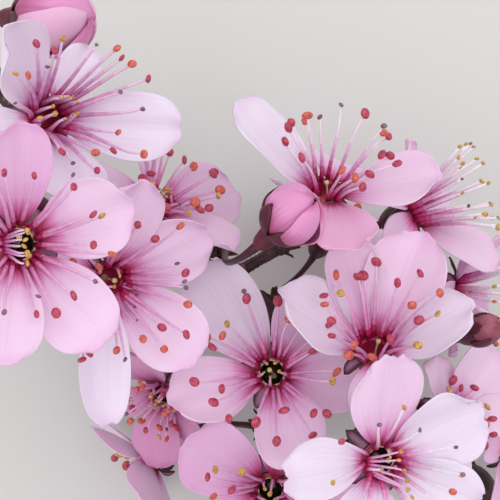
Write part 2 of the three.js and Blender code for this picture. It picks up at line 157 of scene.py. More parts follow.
# Each spur: its foot's share of the way along the stem, and its tip.
SPURS = {
    "left_high": (0.68, [-19, 2.5, 29]),
    "left_low": (0.62, [-12, -2.5, 22.5]),
    "left_top": (0.78, [-25.5, 12.5, 25.5]),
    "left_end": (0.92, [-35.5, 24, 21]),
    "left_under": (0.73, [-22.5, 4.5, 13]),
    "middle_left": (0.62, [-3, 0.2, 19.5]),
    "middle_high": (0.565, [4.8, 0.9, 19.5]),
    "middle_low": (0.46, [3, -6, 12.5]),
    "middle": (0.45, [5.5, -13.5, 18]),
    "middle_right": (0.36, [16, -15.5, 18]),
    "right_high": (0.3, [14.5, -21.5, 20]),
    "right_side": (0.28, [20.8, -11, 13]),
    "right_inner": (0.23, [22.5, -20.5, 15]),
    "low_left": (0.42, [-1, -16.5, 14]),
    "low_under": (0.35, [1, -23.5, 10]),
    "low_right": (0.28, [8.5, -27, 13]),
    "foot_side": (0.15, [28.5, -24.5, 8.5]),
    "foot_low": (0.16, [26, -33.5, 9]),
}
SPUR_MEAN_RADIUS = 1.0
SPUR_RINGS = 72
SPUR_SIDES = 22
SPUR_PORES = 8
SPUR_SAG = 0.06  # share of its length
SPUR_SCARS = (1.6, 0.6, 0.62)  # from its foot, short of its tip, and the step between them
SCAR_SCATTER = 0.12
# Radius along a spur, at shares of its length: a swollen foot, a waist, a knob and a blunt tip.
SPUR_SHARES = [0, 0.12, 0.5, 0.8, 0.92, 1]
SPUR_RADII = [1.15, 0.85, 0.72, 0.78, 1.1, 0.78]
# How many ribs run along a limb in each set, and how fast they wander.
RIBS = [(3, 0.3), (5, 0.21), (8, 0.43), (13, 0.6)]
RIB_HEIGHT = 0.025
HUMP_HEIGHT = 0.04  # of slow humps between the ribs
PORE_HEIGHT = 0.09
PORE_LENGTH = 0.16  # along the limb, either way
PORE_WIDTH = 0.42  # round it, either way
SCAR_HEIGHT = 0.09
SCAR_UNEVEN = 0.05
SCAR_WIDTH = 0.13
SCAR_WANDER = 0.08

CURVE_READINGS = 80  # in each stretch of a smooth path

rng = np.random.default_rng(41)


def any_turn(*count):
    """Random angles, in radians."""
    return rng.uniform(0, 6.28, count)


def round_angles(sides):
    """Angles evenly spaced round a circle."""
    return np.linspace(0, 2 * np.pi, sides, endpoint=False)


def unit(vectors):
    """Vectors of length one."""
    return vectors / np.linalg.norm(vectors, axis=-1, keepdims=True)


def smooth_path(points, count):
    """A centripetal Catmull-Rom curve through the points, read at places evenly spaced along
    its length. Each stretch is the cubic whose end slopes come from its neighbours, with
    knots the square root of their distance apart."""
    known = np.asarray(points, float)
    known = np.vstack([2 * known[0] - known[1], known, 2 * known[-1] - known[-2]])
    gaps = np.sqrt(np.linalg.norm(np.diff(known, axis=0), axis=1))
    before, start, end, after = known[:-3], known[1:-2], known[2:-1], known[3:]
    g0, g1, g2 = gaps[:-2, None], gaps[1:-1, None], gaps[2:, None]
    leave = ((start - before) / g0 - (end - before) / (g0 + g1) + (end - start) / g1) * g1
    arrive = ((end - start) / g1 - (after - start) / (g1 + g2) + (after - end) / g2) * g1
    t = np.linspace(0, 1, CURVE_READINGS, endpoint=False)[None, :, None]
    curve = (
        start[:, None] * (2 * t**3 - 3 * t**2 + 1)
        + leave[:, None] * (t**3 - 2 * t**2 + t)
        + end[:, None] * (3 * t**2 - 2 * t**3)
        + arrive[:, None] * (t**3 - t**2)
    )
    curve = np.vstack([curve.reshape(-1, 3), known[-2]])
    run = np.concatenate([[0], np.cumsum(np.linalg.norm(np.diff(curve, axis=0), axis=1))])
    wanted = np.linspace(0, run[-1], count)
    return np.stack([np.interp(wanted, run, curve[:, k]) for k in range(3)], -1)


def tubes(paths, radii, sides):
    """Round limbs along paths (limb, station, 3), with a radius for each station or each
    side of it: a ring round every station, square to the path, each ring's first side
    carried on from the last ring's without twist, and a fan over each end."""
    paths = np.asarray(paths, float)
    limbs, stations = paths.shape[:2]
    along = unit(np.gradient(paths, axis=1))
    across = np.empty_like(along)
    carried = np.where(np.abs(along[:, 0, :1]) < 0.8, [[1.0, 0, 0]], [[0, 1.0, 0]])
    for k in range(stations):
        carried = unit(carried - along[:, k] * np.sum(carried * along[:, k], -1, keepdims=True))
        across[:, k] = carried
    beside = np.cross(along, across)
    turn = round_angles(sides)[None, None, :, None]
    outward = across[:, :, None] * np.cos(turn) + beside[:, :, None] * np.sin(turn)
    radii = np.asarray(radii, float)
    radii = radii if radii.ndim == 3 else np.broadcast_to(radii, (limbs, stations))[..., None]
    rings = paths[:, :, None] + outward * radii[..., None]
    points = np.concatenate([rings.reshape(limbs, -1, 3), paths[:, :1], paths[:, -1:]], 1)
    return points, tube_faces(stations, sides)


def tube_faces(stations, sides):
    """The faces of one tube: quads between its rings, then a fan over each end."""
    ring = np.arange(stations - 1)[:, None] * sides
    side = np.arange(sides)[None]
    beyond = (side + 1) % sides
    walls = np.stack([ring + side, ring + beyond, ring + beyond + sides, ring + side + sides], -1)
    side, beyond = side[0], beyond[0]
    last = (stations - 1) * sides
    foot, tip = stations * sides, stations * sides + 1
    foot_fan = np.stack([np.full(sides, foot), beyond, side], -1)
    tip_fan = np.stack([np.full(sides, tip), last + side, last + beyond], -1)
    return [walls.reshape(-1, 4), np.vstack([foot_fan, tip_fan])]


def joined(groups):
    """Several sets of like surfaces as one list of points and two of faces. Each set is an
    array of points (surface, point, 3) and the faces of one of its surfaces."""
    points, faces, total = [], {4: [], 3: []}, 0
    for surfaces, own_faces in groups:
        copies, size = surfaces.shape[:2]
        starts = total + np.arange(copies)[:, None, None] * size
        for corners in own_faces:
            count = corners.shape[1]
            faces[count].append((corners[None] + starts).reshape(-1, count))
        points.append(surfaces.reshape(-1, 3))
        total += copies * size
    return np.vstack(points), [np.vstack(f) for f in faces.values() if f]


def piece(name, points, faces, finishes, replaced, pick=None, uv=None, marks=None):
    """Makes one piece from points in millimetres and arrays of face corners. pick is the
    finish of each face, uv each point's place on its own surface, and marks holds named
    numbers for each point. The piece stands for the solids named in replaced."""
    corners = np.concatenate([f.ravel() for f in faces]).astype(np.int32)
    totals = np.concatenate([np.full(len(f), f.shape[1]) for f in faces])
    mesh = bpy.data.meshes.new(name)
    mesh.vertices.add(len(points))
    mesh.vertices.foreach_set("co", metres(points).astype(np.float32).ravel())
    mesh.loops.add(len(corners))
    mesh.loops.foreach_set("vertex_index", corners)
    mesh.polygons.add(len(totals))
    starts = np.concatenate([[0], np.cumsum(totals)[:-1]])
    mesh.polygons.foreach_set("loop_start", starts.astype(np.int32))
    mesh.polygons.foreach_set("use_smooth", np.ones(len(totals), bool))
    if pick is not None:
        mesh.polygons.foreach_set("material_index", np.asarray(pick, np.int32))
    if uv is not None:
        layer = mesh.uv_layers.new(name="own_place")
        layer.data.foreach_set("uv", uv[corners].astype(np.float32).ravel())
    for mark, values in (marks or {}).items():
        held = mesh.attributes.new(mark, "FLOAT", "POINT")
        held.data.foreach_set("value", values.astype(np.float32))
    mesh.update(calc_edges=True)
    for finish in finishes:
        mesh.materials.append(finish)
    made = bpy.data.objects.new(name, mesh)
    bpy.context.collection.objects.link(made)
    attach(made, "root")
    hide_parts(*replaced)
    return made


def add(tree, kind, inputs, stops=(), **settings):
    """Adds one node with its settings and links; stops are the places and colours of a ramp."""
    made = tree.nodes.new("ShaderNode" + kind)
    for name, value in settings.items():
        setattr(made, name, value)
    if stops:
        ends = made.color_ramp.elements
        ends[0].position, ends[-1].position = stops[0][0], stops[-1][0]
        ends[0].color, ends[-1].color = linear(stops[0][1]), linear(stops[-1][1])
        for position, colour in stops[1:-1]:
            ends.new(position).color = linear(colour)
    return fill(tree, made, inputs)


def patch_scale(width):
    """The scale of a noise whose patches are so many millimetres wide: how many of them fit
    in a metre."""
    return 1 / (width * MILLIMETRE)


def bark_relief(run, radius, girth, pores, scars):
    """How far the bark stands out at each station and side, with each station's distance
    along the limb: long low ribs that wander, pores as short humps that lie across the
    limb, and scars as narrow ridges round it that rise and fall with the angle."""
    run, angle = run[:, None], girth[None]
    ribs = sum(
        np.sin(count * angle + phase + 0.5 * np.sin(run * pace + phase))
        for (count, pace), phase in zip(RIBS, any_turn(len(RIBS)))
    )
    relief = RIB_HEIGHT * ribs + HUMP_HEIGHT * np.sin(run * 0.9 + 2 * angle + any_turn())
    places = rng.uniform(0, run.max(), pores)
    away = np.abs((angle[..., None] - any_turn(pores) + np.pi) % (2 * np.pi) - np.pi) * radius
    hump = np.exp(-(((run[..., None] - places) / PORE_LENGTH) ** 2) - (away / PORE_WIDTH) ** 2)
    pore = np.clip(hump.sum(-1), 0, 1)
    for place in scars:
        height = SCAR_HEIGHT + SCAR_UNEVEN * np.sin(angle * 2 + place * 7)
        beyond = run - place - SCAR_WANDER * np.sin(angle + place)
        relief = relief + height * np.exp(-((beyond / SCAR_WIDTH) ** 2))
    return relief + PORE_HEIGHT * pore, pore


stem_places = smooth_path(STEM_ROUTE, STEM_READINGS)
stem_path = smooth_path(STEM_ROUTE, STEM_RINGS)
stem_length = np.linalg.norm(np.diff(stem_path, axis=0), axis=1).sum()
stem_run = np.linspace(0, stem_length, STEM_RINGS)
close_scars = stem_length * STEM_SCARS_AT[0] + np.arange(CLOSE_SCARS) * CLOSE_SCAR_STEP
stem_relief, stem_pores = bark_relief(
    stem_run, STEM_MEAN_RADIUS, round_angles(STEM_SIDES), STEM_PORES,
    [*close_scars, stem_length * STEM_SCARS_AT[1]],
)
swelling = sum(
    SWELLING * np.exp(-(((stem_run - share * stem_length) / SWELLING_REACH) ** 2))
    for share, _ in SPURS.values()
)
stem_radius = np.linspace(STEM_FOOT_RADIUS, STEM_TIP_RADIUS, STEM_RINGS) + swelling
stem_radius[0] = STEM_FOOT_RADIUS - SHEAR_PINCH
stem_relief[0] = 0
wood_groups = [tubes(stem_path[None], (stem_radius[:, None] + stem_relief)[None], STEM_SIDES)]
wood_pores = [stem_pores.ravel(), [0, 0]]

spur_ends = {}
for name, (share, tip) in SPURS.items():
    foot = stem_places[round(share * (STEM_READINGS - 1))]
    tip = np.array(tip, float)
    length = np.linalg.norm(tip - foot)
    middle = (foot + tip) / 2 - [0, 0, SPUR_SAG * length]
    path = smooth_path([foot, middle, tip], SPUR_RINGS)
    spur_ends[name] = (tip, unit(tip - middle))
    run = np.linspace(0, length, SPUR_RINGS)
    scars = np.arange(SPUR_SCARS[0], length - SPUR_SCARS[1], SPUR_SCARS[2])
    scars = scars + rng.uniform(-SCAR_SCATTER, SCAR_SCATTER, len(scars))
    relief, pores = bark_relief(run, SPUR_MEAN_RADIUS, round_angles(SPUR_SIDES), SPUR_PORES, scars)
    radius = np.interp(run / length, SPUR_SHARES, SPUR_RADII)
    wood_groups.append(tubes(path[None], (radius[:, None] + relief)[None], SPUR_SIDES))
    wood_pores += [pores.ravel(), [0, 0]]

# Young cherry plum bark: a thin dark wine-brown skin with a dull waxy shine, greyed in patches
# 4 mm wide where it weathers, with a grain of 0.5 mm and paler corky pores 0.8 mm wide.
BARK, tree, shader = start_finish("young_bark")
place = add(tree, "TexCoord", {}).outputs["Object"]
patches = add(tree, "TexNoise", {
    "Vector": place, "Scale": patch_scale(3.85), "Detail": 5, "Roughness": 0.6,
})
skin = add(
    tree, "ValToRGB", {"Fac": patches.outputs["Fac"]},
    stops=[(0.3, "#1E0D0E"), (0.52, "#3A1F20"), (0.74, "#5E4446")],
)
cork = add(tree, "Attribute", {}, attribute_name="pore")
coloured = add(
    tree, "Mix", {0: cork.outputs["Fac"], 6: skin.outputs["Color"], 7: linear("#8C6B60")},
    data_type="RGBA",
)
grain = add(tree, "TexNoise", {"Vector": place, "Scale": patch_scale(0.455), "Detail": 3})
dents = add(tree, "Bump", {
    "Height": grain.outputs["Fac"], "Strength": 0.35, "Distance": 0.08 * MILLIMETRE,
})
fill(tree, shader, {
    "Base Color": coloured.outputs[2], "Roughness": 0.58, "Normal": dents.outputs["Normal"],
})

points, faces = joined(wood_groups)
points[:, 2] = np.maximum(points[:, 2], 0)  # its lowest ribs lie flat on the board
piece("bark", points, faces, [BARK], ["stem"], marks={"pore": np.concatenate(wood_pores)})

# The cut at the stem's foot
# The stem was cut square with sharp shears: a clean pale disc of damp wood inside a thin green
# and brown ring of bark, with a small brown pith at its middle.

CUT_RINGS = 9
CUT_SIDES = 40
CUT_INSET = 0.1  # from the bark's outside
CUT_PROUD = 0.06  # how far the disc stands out of the bark's end

# The disc is a low dome that rises with the square root of the way in from its edge.
cut_share = np.linspace(1, 0.02, CUT_RINGS)
cut_axis = unit(stem_path[1] - stem_path[0])
cut_path = stem_path[0] - cut_axis * CUT_PROUD * np.linspace(0.2, 1, CUT_RINGS)[:, None] ** 0.5
cut_radii = (STEM_FOOT_RADIUS - CUT_INSET) * cut_share
cut_out = np.concatenate([np.repeat(cut_share, CUT_SIDES), [0, 0]])

# Fresh cherry wood: creamy yellow with one darker year ring, damp and half matt.
CUT_WOOD, tree, shader = start_finish("fresh_cut_wood")
ring = add(tree, "Attribute", {}, attribute_name="out")
colour = add(
    tree, "ValToRGB", {"Fac": ring.outputs["Fac"]},
    stops=[
        (0.0, "#A9805E"), (0.14, "#C9A479"), (0.2, "#E5CFA2"), (0.5, "#DDBE8C"),
        (0.56, "#C99F6E"), (0.62, "#E5CFA2"), (0.84, "#DCC48F"), (0.9, "#9DA35A"), (0.97, "#4B2A28"),
    ],
)
fill(tree, shader, {"Base Color": colour.outputs["Color"], "Roughness": 0.5})
points, faces = joined([tubes(cut_path[None], cut_radii[None], CUT_SIDES)])
points[:, 2] = np.maximum(points[:, 2], 0)
piece("cut_end", points, faces, [CUT_WOOD], ["stem"], marks={"out": cut_out})

# The flowers' stalks, and their places
# Nineteen flowers, each on a thin wine-red stalk that grows from the tip of a spur and bends
# up to the foot of the flower's cup. Two flowers may share a spur.

PETAL_COUNT = 5  # and as many sepals
CUP_DEPTH = 4.3
STALK_START = 0.1  # beyond the middle of the spur's tip, inside its scales
STALK_OVERLAP = 0.5
STALK_BEND = 0.4  # how far back its handle lies, as a share of its span
STALK_RADII = [0.5, 0.4, 0.38, 0.38, 0.42, 0.6]
STALK_RINGS = 14
STALK_SIDES = 12


def flower(at, lean, toward, reach, spread, spur, lifts, **own):
    """One flower: what its row says, and for the rest what an ordinary flower has."""
    return dict(
        at=at, lean=lean, toward=toward, reach=reach, spread=spread, spur=spur, lifts=lifts,
        angles=[20, 92, 164, 236, 308], sizes=[1] * PETAL_COUNT, widths=[0.95] * PETAL_COUNT,
        curls=[6] * PETAL_COUNT, petals="pale", tones={}, frill=1.3, ruffle=1.1,
        anthers="fresh", threads="pink", heart="crimson", kept=0.78, stamens=1, short=6, tall=1,
        thick=1, anther=1, cup=1, comb={}, closed={},
    ) | own


# Each flower: the middle of its cup's rim, its lean from upright and toward which side
# (degrees from +X), its reach from the middle to a petal's tip, how wide its stamens spread,
# its spur, and its five petals' lifts above the rim. Then what sets it apart: where its petals
# point as seen from the front, their sizes, widths and curls, their tone and those of single
# petals, how frayed and how ruffled they are, and the colours of its anthers, threads and
# heart. Shares tell how many of its long stamens it has kept and how long they are, how tall
# its short ones are, how thick its threads, and how big its anthers and its cup; short is a
# number of stamens. A comb is a row of stamens close together on one side of the cup: how
# many, the angles of the first and last foot, where the first and last anther are, and which
# ways those point. A closed flower's petals stand round a globe: its radius, and how steep
# they are at their feet and tips.
BLOOMS = {
    # Its top petal (1) takes the darker rosy tone as painted shade, for its place behind the others.
    "left_front": flower(
        [-21.8, 0.5, 50], 27, 359, 12.9, 60, "left_high", [20, 21, 16, 24, 13],
        angles=[22, 96, 173, 254, 309], sizes=[0.89, 0.93, 1, 0.95, 0.97],
        widths=[0.99, 0.76, 0.95, 0.8, 0.85], tones={1: "rosy"}, heart="dark",
        kept=1, stamens=0.86, short=0, anther=0.78, comb=dict(
            count=7, feet=[150, 215], first=[0.2, 1.5, 2.3], last=[0.3, -1.7, 2.2], ends=[0, 0],
        ),
    ),
    "left_top": flower(
        [-21.7, 14, 38], 41, 11, 14.1, 46, "left_top", [29, 5, 34, -25, 30],
        angles=[355, 57, 138, 206, 275], sizes=[1.05, 0.69, 0.85, 0.72, 0.84],
        widths=[0.68, 0.81, 1.08, 0.95, 0.98], petals="white", frill=0.5, anthers="mixed",
        threads="mauve", kept=1, thick=1.15, short=9, tall=2.2, anther=0.75,
    ),
    "left_corner": flower(
        [-26.2, 26.3, 30], 70, 355, 9.8, 14, "left_end", [44, 46, 48, 46, 44],
        petals="deep", tones={1: "blush", 3: "blush"}, cup=0.7, stamens=0.6,
        closed=dict(globe=4.0, lift=26, end=179),
    ),
    "left_inner": flower(
        [-15.4, -3.2, 35.2], 34, 343, 12.8, 56, "left_low", [13, 20, 14, 15, 21],
        angles=[24, 82, 173, 262, 316], sizes=[0.97, 0.95, 0.85, 1.22, 1.06],
        widths=[0.89, 0.91, 0.95, 0.5, 0.85], tones={3: "white"}, short=2, anther=0.86,
        kept=1, comb=dict(
            count=8, feet=[-20, -80], first=[2.9, -0.2, 1.3], last=[2.7, -5.2, 1.6], ends=[0, 0],
            anthers="spent",
        ),
    ),
    "middle_upper": flower(
        [-11.2, 5.3, 25.5], 56, 46, 12.2, 48, "middle_left", [10, 5, -10, -20, 24],
        angles=[20, 95, 167, 239, 308], sizes=[1.01, 0.86, 0.85, 0.7, 0.95],
        widths=[1.04, 0.6, 0.95, 0.95, 0.95], stamens=0.8,
    ),
    # Its petals take a darker pink tone, painted shade for the shade it lies in under the flowers
    # above.
    "low_left": flower(
        [-10.6, -17.8, 18.8], 44, 228, 11, 48, "low_left", [-16, 27, 11, 20, 16],
        angles=[18, 102, 196, 260, 320], sizes=[0.75, 1.05, 0.75, 0.97, 0.9],
        widths=[0.95, 1, 0.89, 0.99, 0.95], petals="dusky", anthers="coral", anther=0.8,
        stamens=0.55, heart="dark",
    ),
    # Its upper-left petal (2) takes the lighter white tone as painted light, to make up for the shadow
    # the bud above casts on it.
    "middle": flower(
        [2.6, -14.5, 26], 19, 101, 12.6, 62, "middle", [6, 7, 14, 13, 14],
        angles=[349, 57, 126, 198, 288], sizes=[0.88, 0.89, 1.23, 1.01, 0.98],
        widths=[0.93, 0.99, 0.76, 0.9, 0.95], tones={2: "white"}, short=5, heart="dark",
    ),
    "right_middle": flower(
        [13.9, -11.4, 31], 44, 95, 12.8, 44, "middle_right", [36, 35, 34, 36, -24],
        angles=[2, 60, 103, 164, 266], sizes=[1.01, 1.16, 1.05, 1.02, 0.66],
        widths=[0.78, 0.88, 0.73, 1.02, 0.95], tones={0: "white", 3: "white"}, short=0,
    ),
    # Its top petal (1) takes the darker pale tone instead of white, as painted shade.
    "right_low": flower(
        [13.7, -22.2, 38], 17, 341, 12.2, 56, "right_high", [17, 15, 9, 14, 11],
        angles=[28, 94, 181, 252, 334], sizes=[1, 1.02, 0.95, 1, 0.99],
        widths=[1.03, 0.96, 0.8, 0.95, 0.84], petals="white", tones={1: "pale"}, frill=3.2,
        ruffle=1.4, anthers="spent", threads="white", heart="dark", kept=0.45, short=3,
        anther=0.72, comb=dict(
            count=6, feet=[165, 215], first=[1.4, 1.6, 2.4], last=[2.6, -3.6, 2.6], ends=[10, -50],
            threads="pink",
        ),
    ),
    # Its front petal (4) takes the deeper pink blush tone, partly painted shade for the shade that
    # sheet lies in.
    "top_middle": flower(
        [9, 6.7, 27], 45, 77, 13.2, 40, "middle_high", [27, 4, 30, -6, 13],
        angles=[351, 68, 153, 204, 271], sizes=[1.02, 0.85, 1.14, 0.6, 0.98],
        widths=[0.85, 0.95, 0.8, 0.95, 0.86], curls=[6, -66, 6, 6, 6],
        tones={2: "white", 4: "blush"}, threads="white", short=0,
    ),
    "half_open": flower(
        [2.4, 1.8, 36.7], 62, 40, 7.4, 8, "middle_left", [44] * 5,
        angles=[0, 72, 144, 216, 288], petals="deep", cup=0.62, stamens=0.6,
        closed=dict(globe=3.05, lift=25, end=172),
    ),
    "right_upper": flower(
        [19.9, 4.7, 20.5], 64, 23, 12, 30, "middle_high", [33, 10, 20, -14, -20],
        angles=[313, 32, 108, 168, 226], sizes=[1.06, 0.9, 0.75, 0.8, 0.88],
        widths=[0.9, 0.95, 0.95, 0.9, 0.92], anthers="pollen", threads="white", thick=1.35,
        anther=0.62, kept=1, stamens=1.18, short=2,
    ),
    "right_side": flower(
        [26, -5.3, 15.2], 74, 350, 11, 44, "right_side", [24, 10, -14, 8, 24],
        angles=[40, 108, 176, 252, 328], sizes=[1, 0.66, 0.6, 0.75, 0.95], petals="rosy",
        anthers="pollen", threads="white", thick=1.35, anther=0.62,
    ),
    "right_inner": flower(
        [24.1, -20.5, 23], 30, 45, 11.6, 50, "right_inner", [10, 14, 12, -8, -8],
        angles=[104, 52, 4, 270, 190], sizes=[0.68, 0.92, 0.74, 0.66, 0.6],
        widths=[0.95, 0.95, 0.9, 0.8, 0.8], anthers="mixed", stamens=0.5,
    ),
    "right_far": flower(
        [33, -24.8, 14.4], 62, 345, 11.6, 46, "foot_side", [18, 12, -14, 8, 18],
        sizes=[1, 0.9, 0.7, 0.85, 1], petals="rosy",
    ),
    "bottom": flower(
        [2.5, -28.8, 23], 13, 247, 12.4, 56, "low_right", [13, 14, 14, 10, 0],
        angles=[144, 220, 292, 4, 76], sizes=[1.03, 1, 1, 0.95, 0.85],
        widths=[1.02, 0.95, 0.95, 0.95, 0.8], petals="rosy", anthers="mixed", short=5,
        heart="dark",
    ),
    "under_left": flower(
        [-31, 6, 9.42], 78, 175, 11, 50, "left_under", [16] * 5, anthers="mixed", stamens=0.5,
    ),
    "under_low": flower(
        [-13.4, -27.8, 9.16], 84, 218, 10.4, 50, "low_under", [16] * 5,
        anthers="mixed", stamens=0.5,
    ),
    "under_middle": flower(
        [10.6, 2.8, 8.45], 76, 62, 10.8, 50, "middle_low", [14] * 5,
        anthers="mixed", stamens=0.5,
    ),
}


def facing_of(thing):
    """The way that a flower or bud looks: straight up, leaned over toward a side."""
    lean, toward = math.radians(thing["lean"]), math.radians(thing["toward"])
    return np.array(
        [math.sin(lean) * math.cos(toward), math.sin(lean) * math.sin(toward), math.cos(lean)]
    )


def stalk_path(thing, depth):
    """A quadratic Bezier curve from the spur's tip to the foot of the cup or bud, whose
    handle lies straight behind the flower."""
    facing = facing_of(thing)
    tip, _ = spur_ends[thing["spur"]]
    foot = np.array(thing["at"], float) + facing * (STALK_OVERLAP - depth)
    start = tip + STALK_START * unit(foot - tip)
    bend = foot - facing * STALK_BEND * np.linalg.norm(foot - start)
    t = np.linspace(0, 1, STALK_RINGS)[:, None]
    return start * (1 - t) ** 2 + bend * 2 * t * (1 - t) + foot * t**2


def read_evenly(values, count):
    """Values given at even steps, read at count even steps in a straight line between them."""
    return np.interp(np.linspace(0, 1, count), np.linspace(0, 1, len(values)), values)


def light_within(weight, colours, depth):
    """How light spreads under a thin skin: how much of it, how far for each colour against
    the depth, and the depth."""
    return {
        "Subsurface Weight": weight, "Subsurface Radius": colours,
        "Subsurface Scale": depth * MILLIMETRE,
    }


def mottled_finish(name, width, detail, stops, inputs, dents=None):
    """A skin whose colour wanders over a ramp in soft patches of a width, with its shader's
    other inputs. dents are the strength and depth of its grain."""
    made, tree, shader = start_finish(name)
    place = add(tree, "TexCoord", {}).outputs["Object"]
    noise = {"Vector": place, "Scale": patch_scale(width), "Detail": detail}
    patches = add(tree, "TexNoise", noise).outputs["Fac"]
    colour = add(tree, "ValToRGB", {"Fac": patches}, stops=stops)
    fill(tree, shader, {"Base Color": colour.outputs["Color"]} | inputs)
    if dents:
        strength, depth = dents
        bump = {"Height": patches, "Strength": strength, "Distance": depth * MILLIMETRE}
        fill(tree, shader, {"Normal": add(tree, "Bump", bump).outputs["Normal"]})
    return made


stalk_paths = [stalk_path(bloom, CUP_DEPTH * bloom["cup"]) for bloom in BLOOMS.values()]
stalk_radii = read_evenly(STALK_RADII, STALK_RINGS)
stalk_nodes = ["stalk_" + name for name in BLOOMS]

# Stalk skin: smooth wine red, with green showing through in patches 5 mm long, and a slight
# waxy shine.
STALK_SKIN = mottled_finish(
    "stalk_skin", 5.56, 3, [(0.32, "#2C0A15"), (0.55, "#4E1626"), (0.75, "#68392C")],
    {"Roughness": 0.42} | light_within(0.1, (1.0, 0.4, 0.3), 0.4),
)
points, faces = joined([tubes(stalk_paths, stalk_radii, STALK_SIDES)])
piece("stalks", points, faces, [STALK_SKIN], stalk_nodes)

# The bud scales at the spurs' tips
# Small dry brown scales that wrapped the winter bud. They still stand round the foot of each
# stalk in two whorls, and the outer ones have begun to curl away.

SCALE_ROWS = np.linspace(0, 1, 6)
SCALE_COLUMNS = np.linspace(-1, 1, 5)
SCALE_COUNT = 9


def placed(points, at, facing):
    """Points about +Z, turned the short way until +Z looks along facing, and moved to at:
    each keeps its part along the axis square to both and turns about it by the lean."""
    axis = np.array([-facing[1], facing[0], 0.0])
    sine, cosine = np.linalg.norm(axis), facing[2]
    axis = axis / max(sine, 1e-9)
    skew = np.array([[0, -axis[2], axis[1]], [axis[2], 0, -axis[0]], [-axis[1], axis[0], 0]])
    turn = np.eye(3) + sine * skew + (1 - cosine) * skew @ skew
    return points @ turn.T + np.asarray(at, float)


def blade_faces(rows, columns):
    """The faces of one blade: the upper skin, the lower skin the other way round, and the
    rim that joins their edges."""
    row = np.arange(rows - 1)[:, None] * columns
    column = np.arange(columns - 1)[None]
    a = (row + column).ravel()
    skin = rows * columns
    upper = np.stack([a, a + columns, a + columns + 1, a + 1], -1)
    lower = np.stack([skin + a, skin + a + 1, skin + a + columns + 1, skin + a + columns], -1)
    first = np.arange(columns - 1)
    last = first + skin - columns
    left = np.arange(rows - 1) * columns
    right = left + columns - 1
    edge_from = np.concatenate([first + 1, last, left, right + columns])
    edge_to = np.concatenate([first, last + 1, left + columns, right])
    rim = np.stack([edge_from, skin + edge_from, skin + edge_to, edge_to], -1)
    return [np.vstack([upper, lower, rim])]


def blades(rows, columns, shape, outline, swell=0.0, trim=0.0):
    """Thin blades that stand round a flower's axis (blade, point, 3), from a root at a radius
    and a height. The midline is an arc: its slope turns evenly from lift by curl. A crossline
    is an arc that bends by cup to either side of it, and twist turns the crosslines, most near
    the foot. The two skins stand half a thickness above and below. swell moves both skins, and
    trim draws the edge back."""
    each = {key: np.asarray(value, float).reshape(-1, 1, 1) for key, value in shape.items()}
    s, v = rows[None, :, None], columns[None, None, :]
    start, cup = np.radians(each["lift"]), np.radians(each["cup"])
    turn = np.radians(np.where(each["curl"] == 0, 1e-3, each["curl"]))
    reached = s - each["bow"] * v**2 * s**3 - trim
    slope = start + turn * reached
    out = each["radius"] + each["length"] / turn * (np.sin(slope) - np.sin(start))
    up = each["height"] - each["length"] / turn * (np.cos(slope) - np.cos(start))
    half = each["width"] / 2 * outline(s)
    twist = np.radians(each["twist"]) * np.sqrt(np.clip(reached, 0, None))
    angle = np.radians(each["angle"])
    skins = []
    for side in (0.5, -0.5):
        rise = swell + side * each["thickness"]
        flat = half * np.sin(cup * v) / cup - rise * np.sin(cup * v)
        high = half * (1 - np.cos(cup * v)) / cup + rise * np.cos(cup * v)
        across = flat * np.cos(twist) - high * np.sin(twist)
        lifted = flat * np.sin(twist) + high * np.cos(twist)
        outward = out - lifted * np.sin(slope)
        height = up + lifted * np.cos(slope)
        skins.append(np.stack([
            outward * np.cos(angle) - across * np.sin(angle),
            outward * np.sin(angle) + across * np.cos(angle),
            height + 0 * angle,
        ], -1))
    points = np.stack(skins, 1)
    return points.reshape(len(points), -1, 3)


def scale_outline(s):
    """Half width over the widest: broad at the foot, drawn in to a blunt point."""
    return np.sqrt(np.clip(1 - 0.94 * s**2.2, 0, 1)) * (0.85 + 0.3 * s)


scale_groups = []
scale_faces = blade_faces(len(SCALE_ROWS), len(SCALE_COLUMNS))
for tip, direction in spur_ends.values():
    whorl = np.arange(SCALE_COUNT)
    outer = whorl % 2
    made = blades(SCALE_ROWS, SCALE_COLUMNS, {
        "angle": whorl * 360 / SCALE_COUNT + rng.uniform(-14, 14, SCALE_COUNT),
        "length": rng.uniform(1.3, 2.1, SCALE_COUNT), "width": rng.uniform(0.9, 1.3, SCALE_COUNT),
        "lift": 66 - 14 * outer, "curl": rng.uniform(-15, 25, SCALE_COUNT) - 45 * outer,
        "cup": 40, "twist": 0, "thickness": 0.12, "radius": 0.68 + 0.2 * outer,
        "height": -0.75 - 0.5 * outer, "bow": 0.05,
    }, scale_outline)
    scale_groups.append((placed(made, tip, direction), scale_faces))

# Dry bud scales: papery chestnut brown, mottled every 1.5 mm, and almost without shine.
DRY_SCALE = mottled_finish(
    "dry_bud_scale", 1.43, 4, [(0.3, "#2A1310"), (0.55, "#5A3323"), (0.75, "#8A5A3B")],
    {"Roughness": 0.7},
)
points, faces = joined(scale_groups)
piece("bud_scales", points, faces, [DRY_SCALE], ["stem"])

# The flowers' cups and sepals
# Each flower sits on a small bell-shaped cup, 4 mm deep and wine red, that the stalk widens
# into. Five pointed sepals stand on its rim between the petals, bent back in an open flower.

CUP_SIDES = 30
